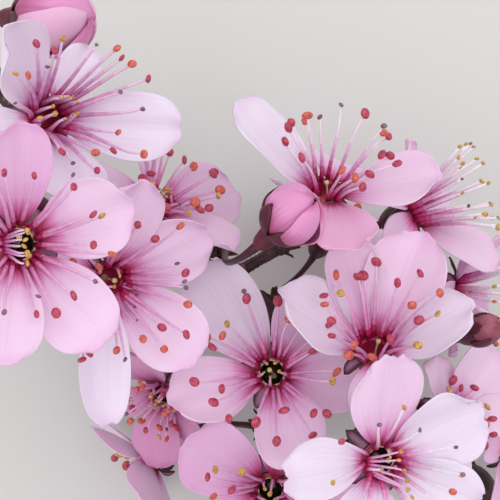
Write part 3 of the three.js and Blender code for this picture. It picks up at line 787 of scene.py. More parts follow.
# Radius and height from the cup's foot, up its outside, over its rim and down inside it.
CUP_PROFILE = np.array([
    [0.0, -4.45], [0.5, -4.4], [0.78, -4.2], [1.15, -3.75], [1.48, -3.15], [1.68, -2.5],
    [1.82, -1.7], [1.98, -0.95], [2.15, -0.35], [2.22, 0.05], [2.16, 0.3], [1.98, 0.34],
    [1.84, 0.1], [1.7, -0.5], [1.45, -1.3], [1.0, -2.0], [0.5, -2.3], [0.0, -2.4],
])
CUP_OUTSIDE_BANDS = 9  # bands between the profile's rings that face out
CUP_RIBS = (0.015, 10)  # how high, as a share of the radius, and how many
SEPAL_ROWS = np.linspace(0, 1, 12)
SEPAL_COLUMNS = np.linspace(-1, 1, 9)
SEPAL_WAVE = 0.1
OPEN_SEPALS = {"length": 2.75, "width": 1.7, "cup": 24, "lift": -10, "curl": -44}
CLASPING_SEPALS = {"length": 4.5, "width": 2.8, "cup": 27, "lift": 24, "curl": 76}


def set_on(thing, points):
    """Points about +Z, moved to where a flower or bud stands and looks."""
    return placed(points, thing["at"], facing_of(thing))


def rings_about(wide, angle, height, ends, depth=1.0):
    """Rings of points about +Z, then a point on the axis at each end. depth flattens them."""
    rings = np.stack([wide * np.cos(angle), depth * wide * np.sin(angle), height + 0 * angle], -1)
    return np.concatenate([rings.reshape(-1, 3), [[0, 0, ends[0]], [0, 0, ends[1]]]])


def turned(profile, sides, ribs, count):
    """A closed profile of radii and heights turned about +Z, with the axis at both ends, and
    low ribs that raise the radius evenly round it."""
    angle = round_angles(sides)[None]
    wide = profile[1:-1, :1] * (1 + ribs * np.cos(count * angle))
    points = rings_about(wide, angle, profile[1:-1, 1:], profile[[0, -1], 1])
    return points[None], tube_faces(len(profile) - 2, sides)


def sepal_outline(s):
    """Half width over the widest: a strap, widest half way, that draws in to a point."""
    return (0.75 + 0.25 * np.sin(np.pi * s)) * np.sqrt(np.clip(1 - s**2.6 * 0.985, 0, 1))


cup_points, cup_faces = turned(CUP_PROFILE, CUP_SIDES, *CUP_RIBS)
sepal_faces = blade_faces(len(SEPAL_ROWS), len(SEPAL_COLUMNS))
cup_groups, sepal_groups = [], []
for bloom in BLOOMS.values():
    angles = np.array(bloom["angles"], float)
    between = angles + ((np.roll(angles, -1) - angles) % 360) / 2
    swell = SEPAL_WAVE * np.sin(6 * SEPAL_ROWS[None, :, None] + any_turn(PETAL_COUNT, 1, 1))
    plain = CLASPING_SEPALS if bloom["closed"] else OPEN_SEPALS
    sepals = blades(SEPAL_ROWS, SEPAL_COLUMNS, {
        "angle": between, "length": plain["length"] + rng.uniform(-0.3, 0.3, PETAL_COUNT),
        "width": plain["width"], "cup": plain["cup"],
        "lift": plain["lift"] + rng.uniform(-7, 7, PETAL_COUNT),
        "curl": plain["curl"] + rng.uniform(-15, 15, PETAL_COUNT),
        "twist": rng.uniform(-8, 8, PETAL_COUNT), "thickness": 0.26,
        "radius": 1.95 * bloom["cup"], "height": -0.1, "bow": 0.06,
    }, sepal_outline, swell)
    cup_groups.append((set_on(bloom, cup_points * bloom["cup"]), cup_faces))
    sepal_groups.append((set_on(bloom, sepals), sepal_faces))

# Cup skin: wine red in patches 3 mm wide, dark and smooth, with a soft shine.
CUP_SKIN = mottled_finish(
    "cup_skin", 2.86, 3, [(0.3, "#2E0815"), (0.55, "#561228"), (0.78, "#74283A")],
    {"Roughness": 0.4} | light_within(0.15, (1.0, 0.35, 0.4), 0.5),
)
# The rim and the inside of a cup: the petals' own crimson, moist and half glossy.
CUP_INSIDE = even_finish("cup_inside", "#9C1440", {"Roughness": 0.35, "Coat Weight": 0.2})
points, faces = joined(cup_groups)
inside = np.arange(len(cup_faces[0])) // CUP_SIDES >= CUP_OUTSIDE_BANDS
pick = np.concatenate([
    np.tile(inside, len(BLOOMS)), np.tile(np.repeat([False, True], CUP_SIDES), len(BLOOMS)),
])
piece("cups", points, faces, [CUP_SKIN, CUP_INSIDE], stalk_nodes, pick=pick)

# Sepal: a dull mauve middle inside a dark purple margin that wavers every 2 mm, and dark wine
# red behind.
SEPAL_FRONT, tree, shader = start_finish("sepal_front")
place = add(tree, "TexCoord", {}).outputs["Object"]
flush = add(tree, "TexNoise", {"Vector": place, "Scale": patch_scale(2), "Detail": 3})
uneven = add(tree, "Math", {0: flush.outputs["Fac"], 1: 0.5}, operation="SUBTRACT")
aside = add(tree, "Attribute", {}, attribute_name="aside")
shifted = add(
    tree, "Math", {0: uneven.outputs[0], 1: 0.7, 2: aside.outputs["Fac"]}, operation="MULTIPLY_ADD",
)
colour = add(
    tree, "ValToRGB", {"Fac": shifted.outputs[0]},
    stops=[(0.25, "#926A80"), (0.6, "#6B3350"), (0.85, "#34102A")],
)
fill(tree, shader, {"Base Color": colour.outputs["Color"], "Roughness": 0.55})
points, faces = joined(sepal_groups)
front_faces = (len(SEPAL_ROWS) - 1) * (len(SEPAL_COLUMNS) - 1)
pick = np.tile(np.arange(len(sepal_faces[0])) >= front_faces, PETAL_COUNT * len(BLOOMS))
from_middle = np.maximum(np.abs(SEPAL_COLUMNS)[None], SEPAL_ROWS[:, None] ** 3).ravel()
piece(
    "sepals", points, faces, [SEPAL_FRONT, CUP_SKIN], stalk_nodes,
    pick=pick, marks={"aside": np.tile(from_middle, 2 * PETAL_COUNT * len(BLOOMS))},
)

# The petals
# Five petals on each cup's rim, one flower to a piece. A petal is a thin soft sheet on a narrow
# foot, round at its end, with one edge over its neighbour and the other under the next. Its
# edge waves, a faint crease runs up its middle, and light comes through it.

# Rows from its foot to its tip, and columns from edge to edge that are closer near the edges.
PETAL_ROWS = np.linspace(0, 1, 30) ** 0.9
column_turns = np.linspace(-np.pi / 2, np.pi / 2, 23) * 0.86
PETAL_COLUMNS = np.sin(column_turns) / np.sin(column_turns[-1])
PETAL_ROOT_RADIUS = 1.95
PETAL_WIDTH_SHARE = 0.86  # of its length
PETAL_CUP = 20  # degrees that its crossline bends to either side
PETAL_WRAP = 62  # degrees of a globe that a closed petal reaches to either side
PETAL_WIDEST_AT = 0.6
PETAL_CLOSES_IN = 0.462  # past that place, if its round end were drawn to its close
PETAL_CLAW_SHARE = 0.2
PETAL_TWIST = 8  # degrees
PETAL_THICKNESS = 0.16
# The same shares for a petal that still wraps its flower, its twist, and how unevenly the five
# of them end, in degrees.
WRAP_WIDEST_AT = 0.5
WRAP_CLOSES_IN = 0.53
WRAP_CLAW_SHARE = 0.42
WRAP_TWIST = 15
WRAP_UNEVEN = np.array([0, 3, -2, 2, -3])
# How high a petal's waves rise at most: near its edge, at its tip, in a roll across it, in its
# crease and in its pleats.
EDGE_WAVE = 0.5
TIP_WAVE = 0.42
ROLL_WAVE = 0.42
CREASE_DEPTH = 0.2
PLEAT_WAVE = 0.13
NOTCH_DEPTH = (-0.02, 0.022)  # shares of its length, from a small point to a notch
LYING_UNDER = 12  # a flower this low rests on the board, which presses its waves flat
PRESSED = 0.3


def petal_outline(s):
    """Half width over the widest: a wedge that widens from the foot as a sine, then from the
    widest place a round end."""
    rising = np.sin(np.pi / 2 * np.clip(s / PETAL_WIDEST_AT, 0, 1) ** 0.85)
    beyond = np.clip((s - PETAL_WIDEST_AT) / PETAL_CLOSES_IN, 0, 1)
    wedge = PETAL_CLAW_SHARE + (1 - PETAL_CLAW_SHARE) * rising
    return np.where(s < PETAL_WIDEST_AT, wedge, np.sqrt(1 - beyond**2.5))


def wrapping_outline(s):
    """Half width over the widest: broad from its foot as a sine, then a round end."""
    rising = np.sin(np.pi / 2 * np.clip(s / WRAP_WIDEST_AT, 0, 1))
    beyond = np.clip((s - WRAP_WIDEST_AT) / WRAP_CLOSES_IN, 0, 1)
    wedge = WRAP_CLAW_SHARE + (1 - WRAP_CLAW_SHARE) * rising
    return wedge * np.sqrt(1 - beyond**2.6)


def petal_waves(count):
    """How far each petal's sheet leaves its plain shape: slow waves that grow toward its
    edge and its tip, a roll across it, a narrow crease up its middle and small pleats."""
    s, v = PETAL_ROWS[None, :, None], PETAL_COLUMNS[None, None, :]
    phase = any_turn(6, count, 1, 1)
    size = rng.uniform(0.4, 1, (4, count, 1, 1))
    edge = EDGE_WAVE * size[0] * np.abs(v) ** 3 * s * np.sin(7 * s + 2 * v + phase[0])
    tip = TIP_WAVE * size[1] * s**4 * np.sin(4 * v + phase[1])
    roll = ROLL_WAVE * size[2] * np.sin(2.2 * v + phase[2]) * np.sin(np.pi * s)
    crease = -CREASE_DEPTH * size[3] * np.exp(-((v / 0.2) ** 2)) * np.sqrt(s * (1 - 0.7 * s))
    pleats = PLEAT_WAVE * size[0] * np.sin(9 * v + phase[3]) * s * (1.25 - s)
    return edge + tip + roll + crease + pleats


def petal_trim(count, frill):
    """How far each petal's edge is drawn back, as a share of its length: a shallow notch at
    the tip and an uneven margin, more so the higher frill is."""
    s, v = PETAL_ROWS[None, :, None], PETAL_COLUMNS[None, None, :]
    notch = rng.uniform(*NOTCH_DEPTH, (count, 1, 1)) * np.exp(-((v / 0.25) ** 2))
    phase = any_turn(2, count, 1, 1)
    margin = 0.008 * np.sin(5 * v + phase[0]) + 0.004 * np.sin(13 * v + phase[1])
    return (min(frill, 1) * notch + frill * margin) * s**6


def petal_finish(name, body, rim, blush, foot, blushed=1.0):
    """Cherry plum petal: a soft matt sheet whose colour deepens from the body to the rim, and
    inward through a blush to a crimson foot, clouded every 6 mm, with some twenty faint veins
    that fan out. blushed is how far the blush reaches against an ordinary petal's."""
    made, tree, shader = start_finish(name)
    where = add(tree, "UVMap", {}, uv_map="own_place").outputs["UV"]
    parts = add(tree, "SeparateXYZ", {"Vector": where})
    along, across = parts.outputs["X"], parts.outputs["Y"]
    place = add(tree, "TexCoord", {}).outputs["Object"]
    cloud = add(tree, "TexNoise", {"Vector": place, "Scale": patch_scale(5.88), "Detail": 2})
    uneven = add(tree, "Math", {0: cloud.outputs["Fac"], 1: 0.5}, operation="SUBTRACT")
    clouded = add(tree, "Math", {0: uneven.outputs[0], 1: 0.16, 2: along}, operation="MULTIPLY_ADD")
    fan = add(tree, "CombineXYZ", {"X": across, "Y": along})
    stretched = add(tree, "Mapping", {"Vector": fan.outputs[0], "Scale": (22.0, 1.3, 1.0)})
    veins = add(tree, "TexNoise", {"Vector": stretched.outputs[0], "Scale": 1.0, "Detail": 3.0})
    streaks = add(tree, "Math", {0: 0.5, 1: veins.outputs["Fac"]}, operation="SUBTRACT")
    shifted = add(
        tree, "Math", {0: streaks.outputs[0], 1: 0.24, 2: clouded.outputs[0]},
        operation="MULTIPLY_ADD",
    )
    inner = [(0.04, foot), (0.13, blush), (0.25, rim), (0.45, body)]
    colour = add(
        tree, "ValToRGB", {"Fac": shifted.outputs[0]},
        stops=[*((at * blushed, tone) for at, tone in inner), (0.86, body), (1.0, rim)],
    )
    strength = add(tree, "MapRange", {"Value": veins.outputs["Fac"], 1: 0.45, 2: 0.75, 3: 0.0, 4: 0.14})
    veined = add(
        tree, "Mix", {0: strength.outputs[0], 6: colour.outputs["Color"], 7: linear(blush)},
        data_type="RGBA",
    )
    fill(tree, shader, {
        "Base Color": veined.outputs[2], "Roughness": 0.52, "Specular IOR Level": 0.35,
        "Sheen Weight": 0.12, "Sheen Roughness": 0.5,
    } | light_within(0.3, (1.0, 0.62, 0.8), 0.6))
    return made


# Each tone's body, rim, blush and foot, and how far its blush reaches.
PETAL_TONES = {
    "white": ("#EDDDEF", "#E6CFE7", "#D67CB0", "#AC1A4C", 0.72),
    "pale": ("#F0CDE7", "#EBBEE0", "#D97BB3", "#AC1A4C"),
    "rosy": ("#EABADD", "#E2A8D3", "#D06CA8", "#A21847"),
    "deep": ("#E697C6", "#C06090", "#A03A6C", "#8E1A42", 1.2),
    # a pink darkened with painted shade, for the low flower that lies in the shade of the others
    "dusky": ("#D796BF", "#CD88B2", "#B85690", "#7A1234"),
    "blush": ("#EFB6D6", "#E8AACD", "#E09AC4", "#A31F4B"),
}
PETAL_FINISHES = {tone: petal_finish("petal_" + tone, *row) for tone, row in PETAL_TONES.items()}
petal_faces = blade_faces(len(PETAL_ROWS), len(PETAL_COLUMNS))
petal_s, petal_v = np.meshgrid(PETAL_ROWS, PETAL_COLUMNS, indexing="ij")
petal_uv = np.stack([petal_s.ravel(), petal_v.ravel() / 2 + 0.5], -1)
for name, bloom in BLOOMS.items():
    length = np.array(bloom["sizes"]) * bloom["reach"] - PETAL_ROOT_RADIUS
    widths = np.array(bloom["widths"])
    shape = {
        "angle": bloom["angles"], "length": length, "lift": bloom["lifts"], "cup": PETAL_CUP,
        "width": length * PETAL_WIDTH_SHARE * widths * rng.uniform(0.97, 1.03, PETAL_COUNT),
        "twist": PETAL_TWIST, "curl": bloom["curls"], "thickness": PETAL_THICKNESS,
        "radius": PETAL_ROOT_RADIUS, "height": 0.28, "bow": 0.1 * widths**2,
    }
    outline, waves = petal_outline, petal_waves(PETAL_COUNT) * bloom["ruffle"]
    if bloom["at"][2] < LYING_UNDER:
        waves = PRESSED * waves
    if bloom["closed"]:
        # Petals that still wrap each other, each with one edge over the next. Their midlines
        # are arcs from the rim of the cup, out to the globe and in again.
        closed = bloom["closed"]
        root = PETAL_ROOT_RADIUS * bloom["cup"]
        steep = math.radians(closed["lift"])
        curl = closed["end"] - closed["lift"]
        length = (closed["globe"] - root) / (1 - math.sin(steep)) * math.radians(curl)
        shape |= {
            "length": length, "width": 2 * closed["globe"] * math.radians(PETAL_WRAP),
            "cup": PETAL_WRAP, "lift": closed["lift"], "curl": curl + WRAP_UNEVEN,
            "twist": WRAP_TWIST, "radius": root,
        }
        outline, waves = wrapping_outline, PRESSED * waves
    trim = petal_trim(PETAL_COUNT, bloom["frill"])
    made = blades(PETAL_ROWS, PETAL_COLUMNS, shape, outline, waves, trim)
    points, faces = joined([(set_on(bloom, made), petal_faces)])
    points[:, 2] = np.maximum(points[:, 2], 0)
    tones = [bloom["tones"].get(number, bloom["petals"]) for number in range(PETAL_COUNT)]
    worn = sorted(set(tones))
    pick = np.repeat([worn.index(tone) for tone in tones], len(petal_faces[0]))
    piece(
        "petals_" + name, points, faces, [PETAL_FINISHES[tone] for tone in worn],
        ["bloom_" + name], pick=pick, uv=np.tile(petal_uv, (2 * PETAL_COUNT, 1)),
    )

# The nectaries
# The inside of each cup is lined with a wet gland, almost black with nectar on its floor and
# crimson up its wall, under a narrow cream ring. The stamens stand just outside that ring.

NECTARY_SIDES = 30
# Radius and height from the floor of the cup, up its lining, over the ring and back under it.
NECTARY_PROFILE = np.array([
    [0.0, -1.75], [0.6, -1.65], [1.05, -1.3], [1.25, -0.8], [1.33, -0.25], [1.37, 0.1],
    [1.42, 0.26], [1.5, 0.34], [1.58, 0.3], [1.7, 0.4], [1.95, 0.32], [1.96, 0.05],
    [1.66, -0.5], [1.4, -1.2], [1.0, -1.85], [0.0, -2.15],
])
NECTARY_RIBS = (0.03, 7)  # how high, as a share of the radius, and how many
# The finish of each band between rings and of the two fans: lining, wall, ring, then the
# crimson round it. A younger flower's heart is crimson all through.
NECTARY_BANDS = {
    "dark": ([0, 0, 0, 0, 1, 2, 2, 3, 3, 3, 3, 3, 3], [0, 3]),
    "crimson": ([3] * 13, [3, 3]),
}

nectary_points, nectary_faces = turned(NECTARY_PROFILE, NECTARY_SIDES, *NECTARY_RIBS)
# Nectary lining: dark olive under a film of nectar, which makes it glossy.
LINING = even_finish("nectary_lining", "#1D1A10", {
    "Roughness": 0.14, "IOR": 1.4, "Coat Weight": 0.4, "Coat Roughness": 0.08,
})
# Nectary wall: the same gland where it thins out, dark crimson and wet.
WALL = even_finish("nectary_wall", "#3E0B1B", {"Roughness": 0.2, "Coat Weight": 0.3})
# Nectary ring: waxy cream, a little tan.
RING = even_finish(
    "nectary_ring", "#D8B488", {"Roughness": 0.35} | light_within(0.2, (1.0, 0.8, 0.4), 0.4)
)
points, faces = joined([
    (set_on(bloom, nectary_points * bloom["cup"]), nectary_faces) for bloom in BLOOMS.values()
])
hearts = [NECTARY_BANDS[bloom["heart"]] for bloom in BLOOMS.values()]
pick = np.concatenate([np.repeat(heart[part], NECTARY_SIDES) for part in (0, 1) for heart in hearts])
bloom_nodes = ["bloom_" + name for name in BLOOMS]
piece(
    "nectaries", points, faces, [LINING, WALL, RING, CUP_INSIDE], bloom_nodes, pick=pick,
)

# The stamens
# Two dozen in each flower, on the ring of its cup: a thread that bends outward, crimson at its
# foot and nearly white at its end, and on it an anther of two lobes, tipped at any angle. They
# open from crimson and coral to tan with pollen, and shrink to dull mauve when they are spent.

STAMEN_COUNT = 24  # the long ones of a flower that has kept them all
ALWAYS_KEPT = 6  # every sixth of them
GOLDEN_ANGLE = 137.508
ANGLE_SCATTER = 20
FIRST_LEAN = 0.42  # share of its flower's spread that the first of them leans out
# The least length and how much more it may be: of a long stamen as shares of its flower's
# reach, and of a short one in millimetres.
LONG_LENGTH = (0.58, 0.22)
LONG_START = 0.55  # taken off a long stamen, whose line starts outside the middle
SHORT_LENGTH = (1.3, 1.1)
# Where the straight line to an anther starts: how far out for a short stamen and for a long
# one, and how far up for both.
LINE_OUT = (1.5, 1.1)
LINE_UP = 0.5
RING_RADIUS = 1.56  # of the first of three close circles of feet
RING_STEP = 0.17
RING_HEIGHT = 0.38
COMB_RADIUS = 1.62
COMB_SCATTER = 0.12
INWARD = 0.42  # how far a short stamen leans in, against how far it rises
ANTHER_BACK = 0.3  # from an anther's middle to the end of its thread
THREAD_SWAY = 0.05
THREAD_HANDLES = (0.36, 0.26)  # shares of its reach, at its foot and at its end
THREAD_RINGS = 13
THREAD_SIDES = 6
THREAD_RADII = [0.29, 0.24, 0.195, 0.165, 0.14, 0.12]
COMB_THREAD = 0.8  # share of a plain thread's thickness
ANTHER_RINGS = 7
ANTHER_SIDES = 10
ANTHER_DEPTH = 0.78  # share of its width
ANTHER_TIPPING = 0.75  # how much chance there is in the way that it points
# Each kind of anther, and its size.
ANTHER_KINDS = {"crimson": 1.12, "coral": 1.12, "tan": 0.9, "spent": 0.66}
# How many of a flower's anthers are of each kind, as shares.
ANTHER_MIXES = {
    "fresh": [0.5, 0.26, 0.08, 0.16],
    "mixed": [0.34, 0.24, 0.22, 0.2],
    "pollen": [0.0, 0.06, 0.82, 0.12],
    "spent": [0.1, 0.04, 0.3, 0.56],
    "coral": [0.25, 0.6, 0.05, 0.1],
}
SHORT_ANTHER = 0.5
COMB_ANTHER = 0.62


def chance(number, stamen):
    """A number from 0 to 1 that is always the same for a flower's number and a stamen's: what
    is left behind the point of a large sine."""
    value = np.sin(number * 12.9898 + stamen * 78.233) * 43758.5453
    return value - np.floor(value)


def evenly(ends, step):
    """Values that go from the first of two ends to the last as step goes from 0 to 1."""
    first, last = np.array(ends)
    return first + step * (last - first)


def stamen_lines(bloom, number):
    """Each stamen's foot on the ring, its anther's place, and the way it points there. They
    stand a golden angle apart and lean out more the later they come. Short ones lean in over
    the cup, and those of a comb stand in a row. The last result is 0 for a long stamen, 1 for
    a short one and 2 for one in a comb."""
    index = np.arange(STAMEN_COUNT)
    stays = (index % ALWAYS_KEPT == 0) | (chance(number, index + 80) < bloom["kept"])
    index = np.concatenate([index[stays], STAMEN_COUNT + np.arange(bloom["short"])])
    short = (index >= STAMEN_COUNT)[:, None]
    angle = np.radians(GOLDEN_ANGLE * index + ANGLE_SCATTER * chance(number, index))
    outward = np.stack([np.cos(angle), np.sin(angle), 0 * angle], -1)
    share = np.sqrt((index % STAMEN_COUNT + 0.5) / STAMEN_COUNT)
    leaning = np.radians(bloom["spread"] * (FIRST_LEAN + (1 - FIRST_LEAN) * share))[:, None]
    upward = np.array([0, 0, 1.0])
    along = outward * np.sin(leaning) + upward * np.cos(leaning)
    along = np.where(short, unit(upward - INWARD / bloom["tall"] ** 2 * outward), along)
    luck = chance(number, index + 50)[:, None]
    long = (bloom["reach"] * (LONG_LENGTH[0] + LONG_LENGTH[1] * luck) - LONG_START) * bloom["stamens"]
    size = bloom["cup"]
    little = (SHORT_LENGTH[0] + SHORT_LENGTH[1] * luck) * size * bloom["tall"]
    length = np.where(short, little, long)
    anther = outward * np.where(short, *LINE_OUT) * size + LINE_UP * upward + along * length
    foot = outward * (RING_RADIUS + RING_STEP * (index % 3))[:, None] * size + RING_HEIGHT * upward
    kind = short[:, 0].astype(int)
    if bloom["comb"]:
        comb = bloom["comb"]
        step = np.linspace(0, 1, comb["count"])[:, None]
        feet, ends = np.radians(evenly(comb["feet"], step)), np.radians(evenly(comb["ends"], step))
        ring = [COMB_RADIUS * np.cos(feet), COMB_RADIUS * np.sin(feet), RING_HEIGHT + 0 * feet]
        foot = np.vstack([foot, np.hstack(ring)])
        row = evenly([comb["first"], comb["last"]], step)
        anther = np.vstack([anther, row + rng.normal(0, COMB_SCATTER, row.shape)])
        along = np.vstack([along, np.hstack([np.cos(ends), np.sin(ends), 0.1 + 0 * ends])])
        kind = np.concatenate([kind, np.full(comb["count"], 2)])
    return foot, along, anther, kind


def thread_paths(foot, along, anther):
    """Each thread as a cubic Bezier curve: up from the ring, then out to the anther's back."""
    end = anther - along * ANTHER_BACK
    reach = np.linalg.norm(end - foot, axis=-1, keepdims=True)
    sway = rng.normal(0, THREAD_SWAY, foot.shape)
    rise = foot + (0.55 * along + [0, 0, 0.5] + sway) * THREAD_HANDLES[0] * reach
    bend = end - (along + 3 * sway) * THREAD_HANDLES[1] * reach
    t = np.linspace(0, 1, THREAD_RINGS)[None, :, None]
    foot, rise, bend, end = (p[:, None] for p in (foot, rise, bend, end))
    return foot * (1 - t) ** 3 + rise * 3 * t * (1 - t) ** 2 + bend * 3 * t**2 * (1 - t) + end * t**3


def anther_shape():
    """One anther 1 mm long about its middle: rings whose radius is the root of a sine along
    it, each flattened, and pinched twice across so that two lobes stand either side of a
    groove."""
    t = np.linspace(0.05, 0.95, ANTHER_RINGS)[:, None]
    angle = round_angles(ANTHER_SIDES)[None]
    radius = 0.5 * np.sqrt(np.sin(np.pi * t)) * (0.72 + 0.28 * np.abs(np.cos(angle)))
    points = rings_about(radius, angle, (t - 0.5) * 1.16, (-0.5, 0.5), ANTHER_DEPTH)
    return points, tube_faces(ANTHER_RINGS, ANTHER_SIDES)


def aimed(shape, centres, directions, spins, sizes):
    """A shape about +Z, set down at each centre with +Z along its direction, spun about it
    and sized: the sum of its three coordinates along three directions square to each other."""
    helper = np.where(np.abs(directions[:, 2:]) < 0.9, [[0, 0, 1.0]], [[1.0, 0, 0]])
    side = unit(np.cross(helper, directions))
    front = np.cross(directions, side)
    x = side * np.cos(spins)[:, None] + front * np.sin(spins)[:, None]
    y = np.cross(directions, x)
    axes = np.stack([x, y, directions], 1) * sizes[:, None, None]
    return np.einsum("pk,nkc->npc", shape, axes) + centres[:, None]


# The colours that threads have, and which of them each kind of thread has in the bands between
# its rings, from its foot to its end.
THREAD_COLOURS = [
    "#A2154A", "#B92C66", "#CA5791", "#D47BAD", "#DA92BE", "#DFA1C9", "#E3ADD1", "#E7B9D8",
    "#EAC3DE", "#F1DDE9", "#F4E8F0", "#CC86B4", "#D89CC6", "#E2B2D5", "#EAC6E0",
]
THREAD_BANDS = {
    "pink": [0, 1, 3, 4, 4, 5, 5, 6, 6, 7, 7, 8],
    "white": [0, 1, 2, 4, 5, 7, 8, 9, 9, 10, 10, 10],
    "mauve": [0, 1, 2, 11, 11, 12, 12, 13, 13, 14, 14, 14],
}
anther_points, anther_faces = anther_shape()
thread_radii = read_evenly(THREAD_RADII, THREAD_RINGS)
thread_groups, wall_picks, end_picks = [], [], []
anther_groups = {kind: [] for kind in ANTHER_KINDS}
kinds = list(ANTHER_KINDS)
for number, bloom in enumerate(BLOOMS.values()):
    foot, along, anther, place = stamen_lines(bloom, number)
    paths = thread_paths(foot, along, anther)
    radii = np.outer(np.where(place == 2, COMB_THREAD, bloom["thick"]), thread_radii)
    threads, thread_faces = tubes(paths, radii, THREAD_SIDES)
    thread_groups.append((set_on(bloom, threads), thread_faces))
    worn = [bloom["threads"], bloom["comb"].get("threads", "mauve")]
    bands = np.array([THREAD_BANDS[word] for word in worn])[(place == 2).astype(int)]
    wall_picks.append(np.repeat(bands, THREAD_SIDES, axis=1).ravel())
    end_picks.append(np.repeat(bands[:, [0, -1]], THREAD_SIDES, axis=1).ravel())
    kind = rng.choice(len(kinds), len(foot), p=ANTHER_MIXES[bloom["anthers"]])
    kind[place == 1] = kinds.index("tan")
    kind[place == 2] = kinds.index(bloom["comb"].get("anthers", "tan"))
    tipped = unit(along + rng.normal(0, ANTHER_TIPPING, along.shape))
    spins = any_turn(len(kind))
    sizes = np.array(list(ANTHER_KINDS.values()))[kind] * rng.uniform(0.86, 1.1, len(kind))
    sizes *= np.choose(place, [bloom["anther"], SHORT_ANTHER, COMB_ANTHER])
    anthers = set_on(bloom, aimed(anther_points, anther, tipped, spins, sizes))
    for word in ANTHER_KINDS:
        own = anthers[kind == kinds.index(word)]
        if len(own):
            anther_groups[word].append((own, anther_faces))

# Stamen thread: a clear wet-looking filament, its colour nearly even along each of its bands.
THREAD_FINISHES = []
for band, thread_colour in enumerate(THREAD_COLOURS):
    finish, tree, shader = start_finish("thread_%02d" % band)
    place = add(tree, "TexCoord", {}).outputs["Object"]
    uneven = add(tree, "TexNoise", {"Vector": place, "Scale": patch_scale(2.5)})
    tint = add(tree, "MapRange", {"Value": uneven.outputs["Fac"], 1: 0.3, 2: 0.7, 3: 0.92, 4: 1.06})
    colour = add(
        tree, "Mix", {0: 1.0, 6: linear(thread_colour), 7: tint.outputs[0]},
        data_type="RGBA", blend_type="MULTIPLY",
    )
    fill(tree, shader, {
        "Base Color": colour.outputs[2], "Roughness": 0.32,
    } | light_within(0.25, (1.0, 0.5, 0.6), 0.3))
    THREAD_FINISHES.append(finish)
points, faces = joined(thread_groups)
pick = np.concatenate(wall_picks + end_picks)
piece("stamen_threads", points, faces, THREAD_FINISHES, bloom_nodes, pick=pick)

# Anthers: crimson and coral ones are plump and silky, tan ones are rough with pollen, and
# spent ones are dull and shrunk. Grains of pollen are 0.04 mm, drawn as lumps of 0.3 mm
# because finer ones don't show.
ANTHER_COLOURS = {
    "crimson": ("#9A2846", "#CC5068", 0.5), "coral": ("#BC463A", "#E07460", 0.5),
    "tan": ("#A67431", "#E2B666", 0.85), "spent": ("#5F4550", "#977488", 0.8),
}
for word, (dark, light, roughness) in ANTHER_COLOURS.items():
    finish = mottled_finish(
        "anther_" + word, 1 / 3, 2, [(0.3, dark), (0.65, light)], {"Roughness": roughness},
        dents=(0.4, 0.1),
    )
    points, faces = joined(anther_groups[word])
    piece("anthers_" + word, points, faces, [finish], bloom_nodes)

# The pistils
# One in each flower: a cream thread, thicker than a stamen's, from the floor of the cup to a
# stigma like a small button.

STYLE_LENGTH = 1.7  # above the rim of a full-sized cup
STYLE_DEPTH = 1.6  # of its foot, below that rim
STYLE_SHARES = np.linspace(0, 1, 12)
STYLE_RADII = [0.4, 0.36, 0.22, 0.13, 0.12, 0.11, 0.11, 0.11, 0.11, 0.13, 0.26, 0.3]
STYLE_SIDES = 8
STYLE_ASIDE = 0.15  # of the middle of the cup
STYLE_SWAY = 0.3
STIGMA_HEIGHT = 0.3

style_paths = []
for bloom in BLOOMS.values():
    tall = STYLE_LENGTH * bloom["cup"] * rng.uniform(0.8, 1.2)
    height = -STYLE_DEPTH + (tall + STYLE_DEPTH) * STYLE_SHARES
    sway = rng.normal(0, STYLE_SWAY, 2)
    bent = STYLE_SHARES**2
    path = np.stack([STYLE_ASIDE + sway[0] * bent, sway[1] * bent, height], -1)
    path[-1] = path[-2] + unit(path[-2] - path[-3]) * STIGMA_HEIGHT
    style_paths.append(set_on(bloom, path))

# Style and stigma: moist cream, a little green in patches 3 mm long, with a soft shine.
STYLE_SKIN = mottled_finish(
    "style_skin", 3.33, 2, [(0.3, "#B9A36A"), (0.7, "#E2CFA6")], {"Roughness": 0.3},
)
points, faces = joined([tubes(style_paths, STYLE_RADII, STYLE_SIDES)])
piece("pistils", points, faces, [STYLE_SKIN], bloom_nodes)

# The buds
# Three buds that haven't opened: the same stalk, a slim cup, five sepals that still clasp it,
# and a round head of folded petals whose edges wind over each other.

# Each bud: the middle of its cup's rim, its lean and the side that it leans to, its size
# against a bud 6 mm long, and its spur.
BUDS = {
    "right": dict(at=[26.5, -9.3, 28.5], lean=40, toward=30, size=1, spur="right_side"),
    "left_end": dict(at=[-38.5, 30.5, 20], lean=55, toward=125, size=0.9, spur="left_end"),
    "foot": dict(at=[23, -36.5, 13], lean=40, toward=225, size=0.8, spur="foot_low"),
}
BUD_DEPTH = 3.4
BUD_ROWS = 20
BUD_SIDES = 40
# Radius and height from the foot of the cup to the tip of the head.
BUD_PROFILE = np.array([
    [0.0, -3.45], [0.5, -3.4], [0.85, -3.0], [1.2, -2.3], [1.42, -1.5], [1.62, -0.7],
    [1.76, 0.1], [1.78, 0.9], [1.62, 1.6], [1.25, 2.2], [0.75, 2.65], [0.3, 2.84], [0.0, 2.88],
])
BUD_CUP_BANDS = 9  # of the lower bands, that are cup and not petals
SEAM_WIDTH = 0.07  # share of a petal's fifth of the head
SEAM_WIND = 0.35  # fifths of the head for each millimetre up
# Shares of the radius: how far a petal climbs toward its edge, and how deep the seam is just
# under that edge and just past it.
PETAL_CLIMB = 0.11
SEAM_DEPTHS = (0.14, 0.1)


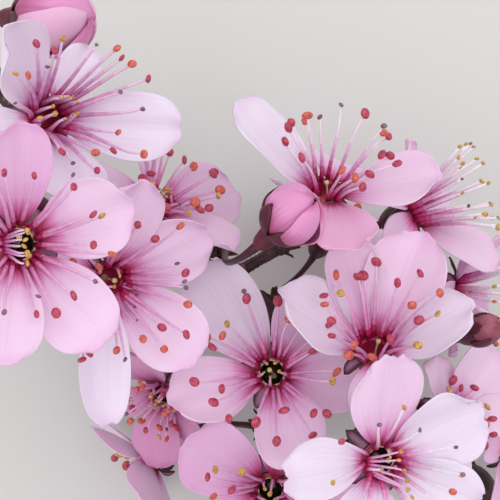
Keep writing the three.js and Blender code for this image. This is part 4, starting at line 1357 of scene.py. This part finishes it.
def bud_head(size):
    """The profile turned about +Z on a finer grid, with five seams that wind up round the
    head: the radius climbs along each petal and drops by a step where the next covers it."""
    radius = read_evenly(BUD_PROFILE[:, 0], BUD_ROWS)[1:-1, None]
    height = read_evenly(BUD_PROFILE[:, 1], BUD_ROWS)[1:-1, None]
    angle = round_angles(BUD_SIDES)[None]
    wind = (angle * PETAL_COUNT / (2 * np.pi) + height * SEAM_WIND) % 1
    before, after = (
        depth * np.exp(-(((wind - seam) / SEAM_WIDTH) ** 2))
        for depth, seam in zip(SEAM_DEPTHS, (1, 0))
    )
    step = np.clip((height + 0.6) / 1.2, 0, 1) * (PETAL_CLIMB * wind - before - after)
    points = rings_about(radius * (1 + step), angle, height, BUD_PROFILE[[0, -1], 1]) * size
    return points[None], tube_faces(BUD_ROWS - 2, BUD_SIDES)


# Folded petals of a bud: the same sheet as an open petal's, but dusky rose and mottled every
# 2 mm while it is still tight.
BUD_PETAL = mottled_finish(
    "bud_petal", 2.22, 3, [(0.3, "#6E2836"), (0.55, "#94485A"), (0.78, "#B26C7C")],
    {"Roughness": 0.5} | light_within(0.2, (1.0, 0.5, 0.6), 0.5),
)
for name, bud in BUDS.items():
    size = bud["size"]
    head, head_faces = bud_head(size)
    stalk, stalk_faces = tubes([stalk_path(bud, BUD_DEPTH * size)], stalk_radii, STALK_SIDES)
    clasping = blades(SEPAL_ROWS, SEPAL_COLUMNS, {
        "angle": np.arange(PETAL_COUNT) * 72 + 36, "length": 2.9 * size, "width": 1.75 * size,
        "cup": 30, "lift": 70 + rng.uniform(-3, 3, PETAL_COUNT), "curl": 44, "twist": 0,
        "thickness": 0.22, "radius": 1.7 * size, "height": -0.9 * size, "bow": 0.06,
    }, sepal_outline)
    points, faces = joined([
        (set_on(bud, head), head_faces), (stalk, stalk_faces), (set_on(bud, clasping), sepal_faces),
    ])
    pick = np.concatenate([
        np.arange(len(head_faces[0])) // BUD_SIDES < BUD_CUP_BANDS,
        np.full(len(stalk_faces[0]), 2), np.ones(PETAL_COUNT * len(sepal_faces[0])),
        np.repeat([1, 0], BUD_SIDES), np.full(2 * STALK_SIDES, 2),
    ])
    piece(
        "bud_" + name + "_rose", points, faces, [BUD_PETAL, CUP_SKIN, STALK_SKIN],
        ["bud_" + name], pick=pick,
    )
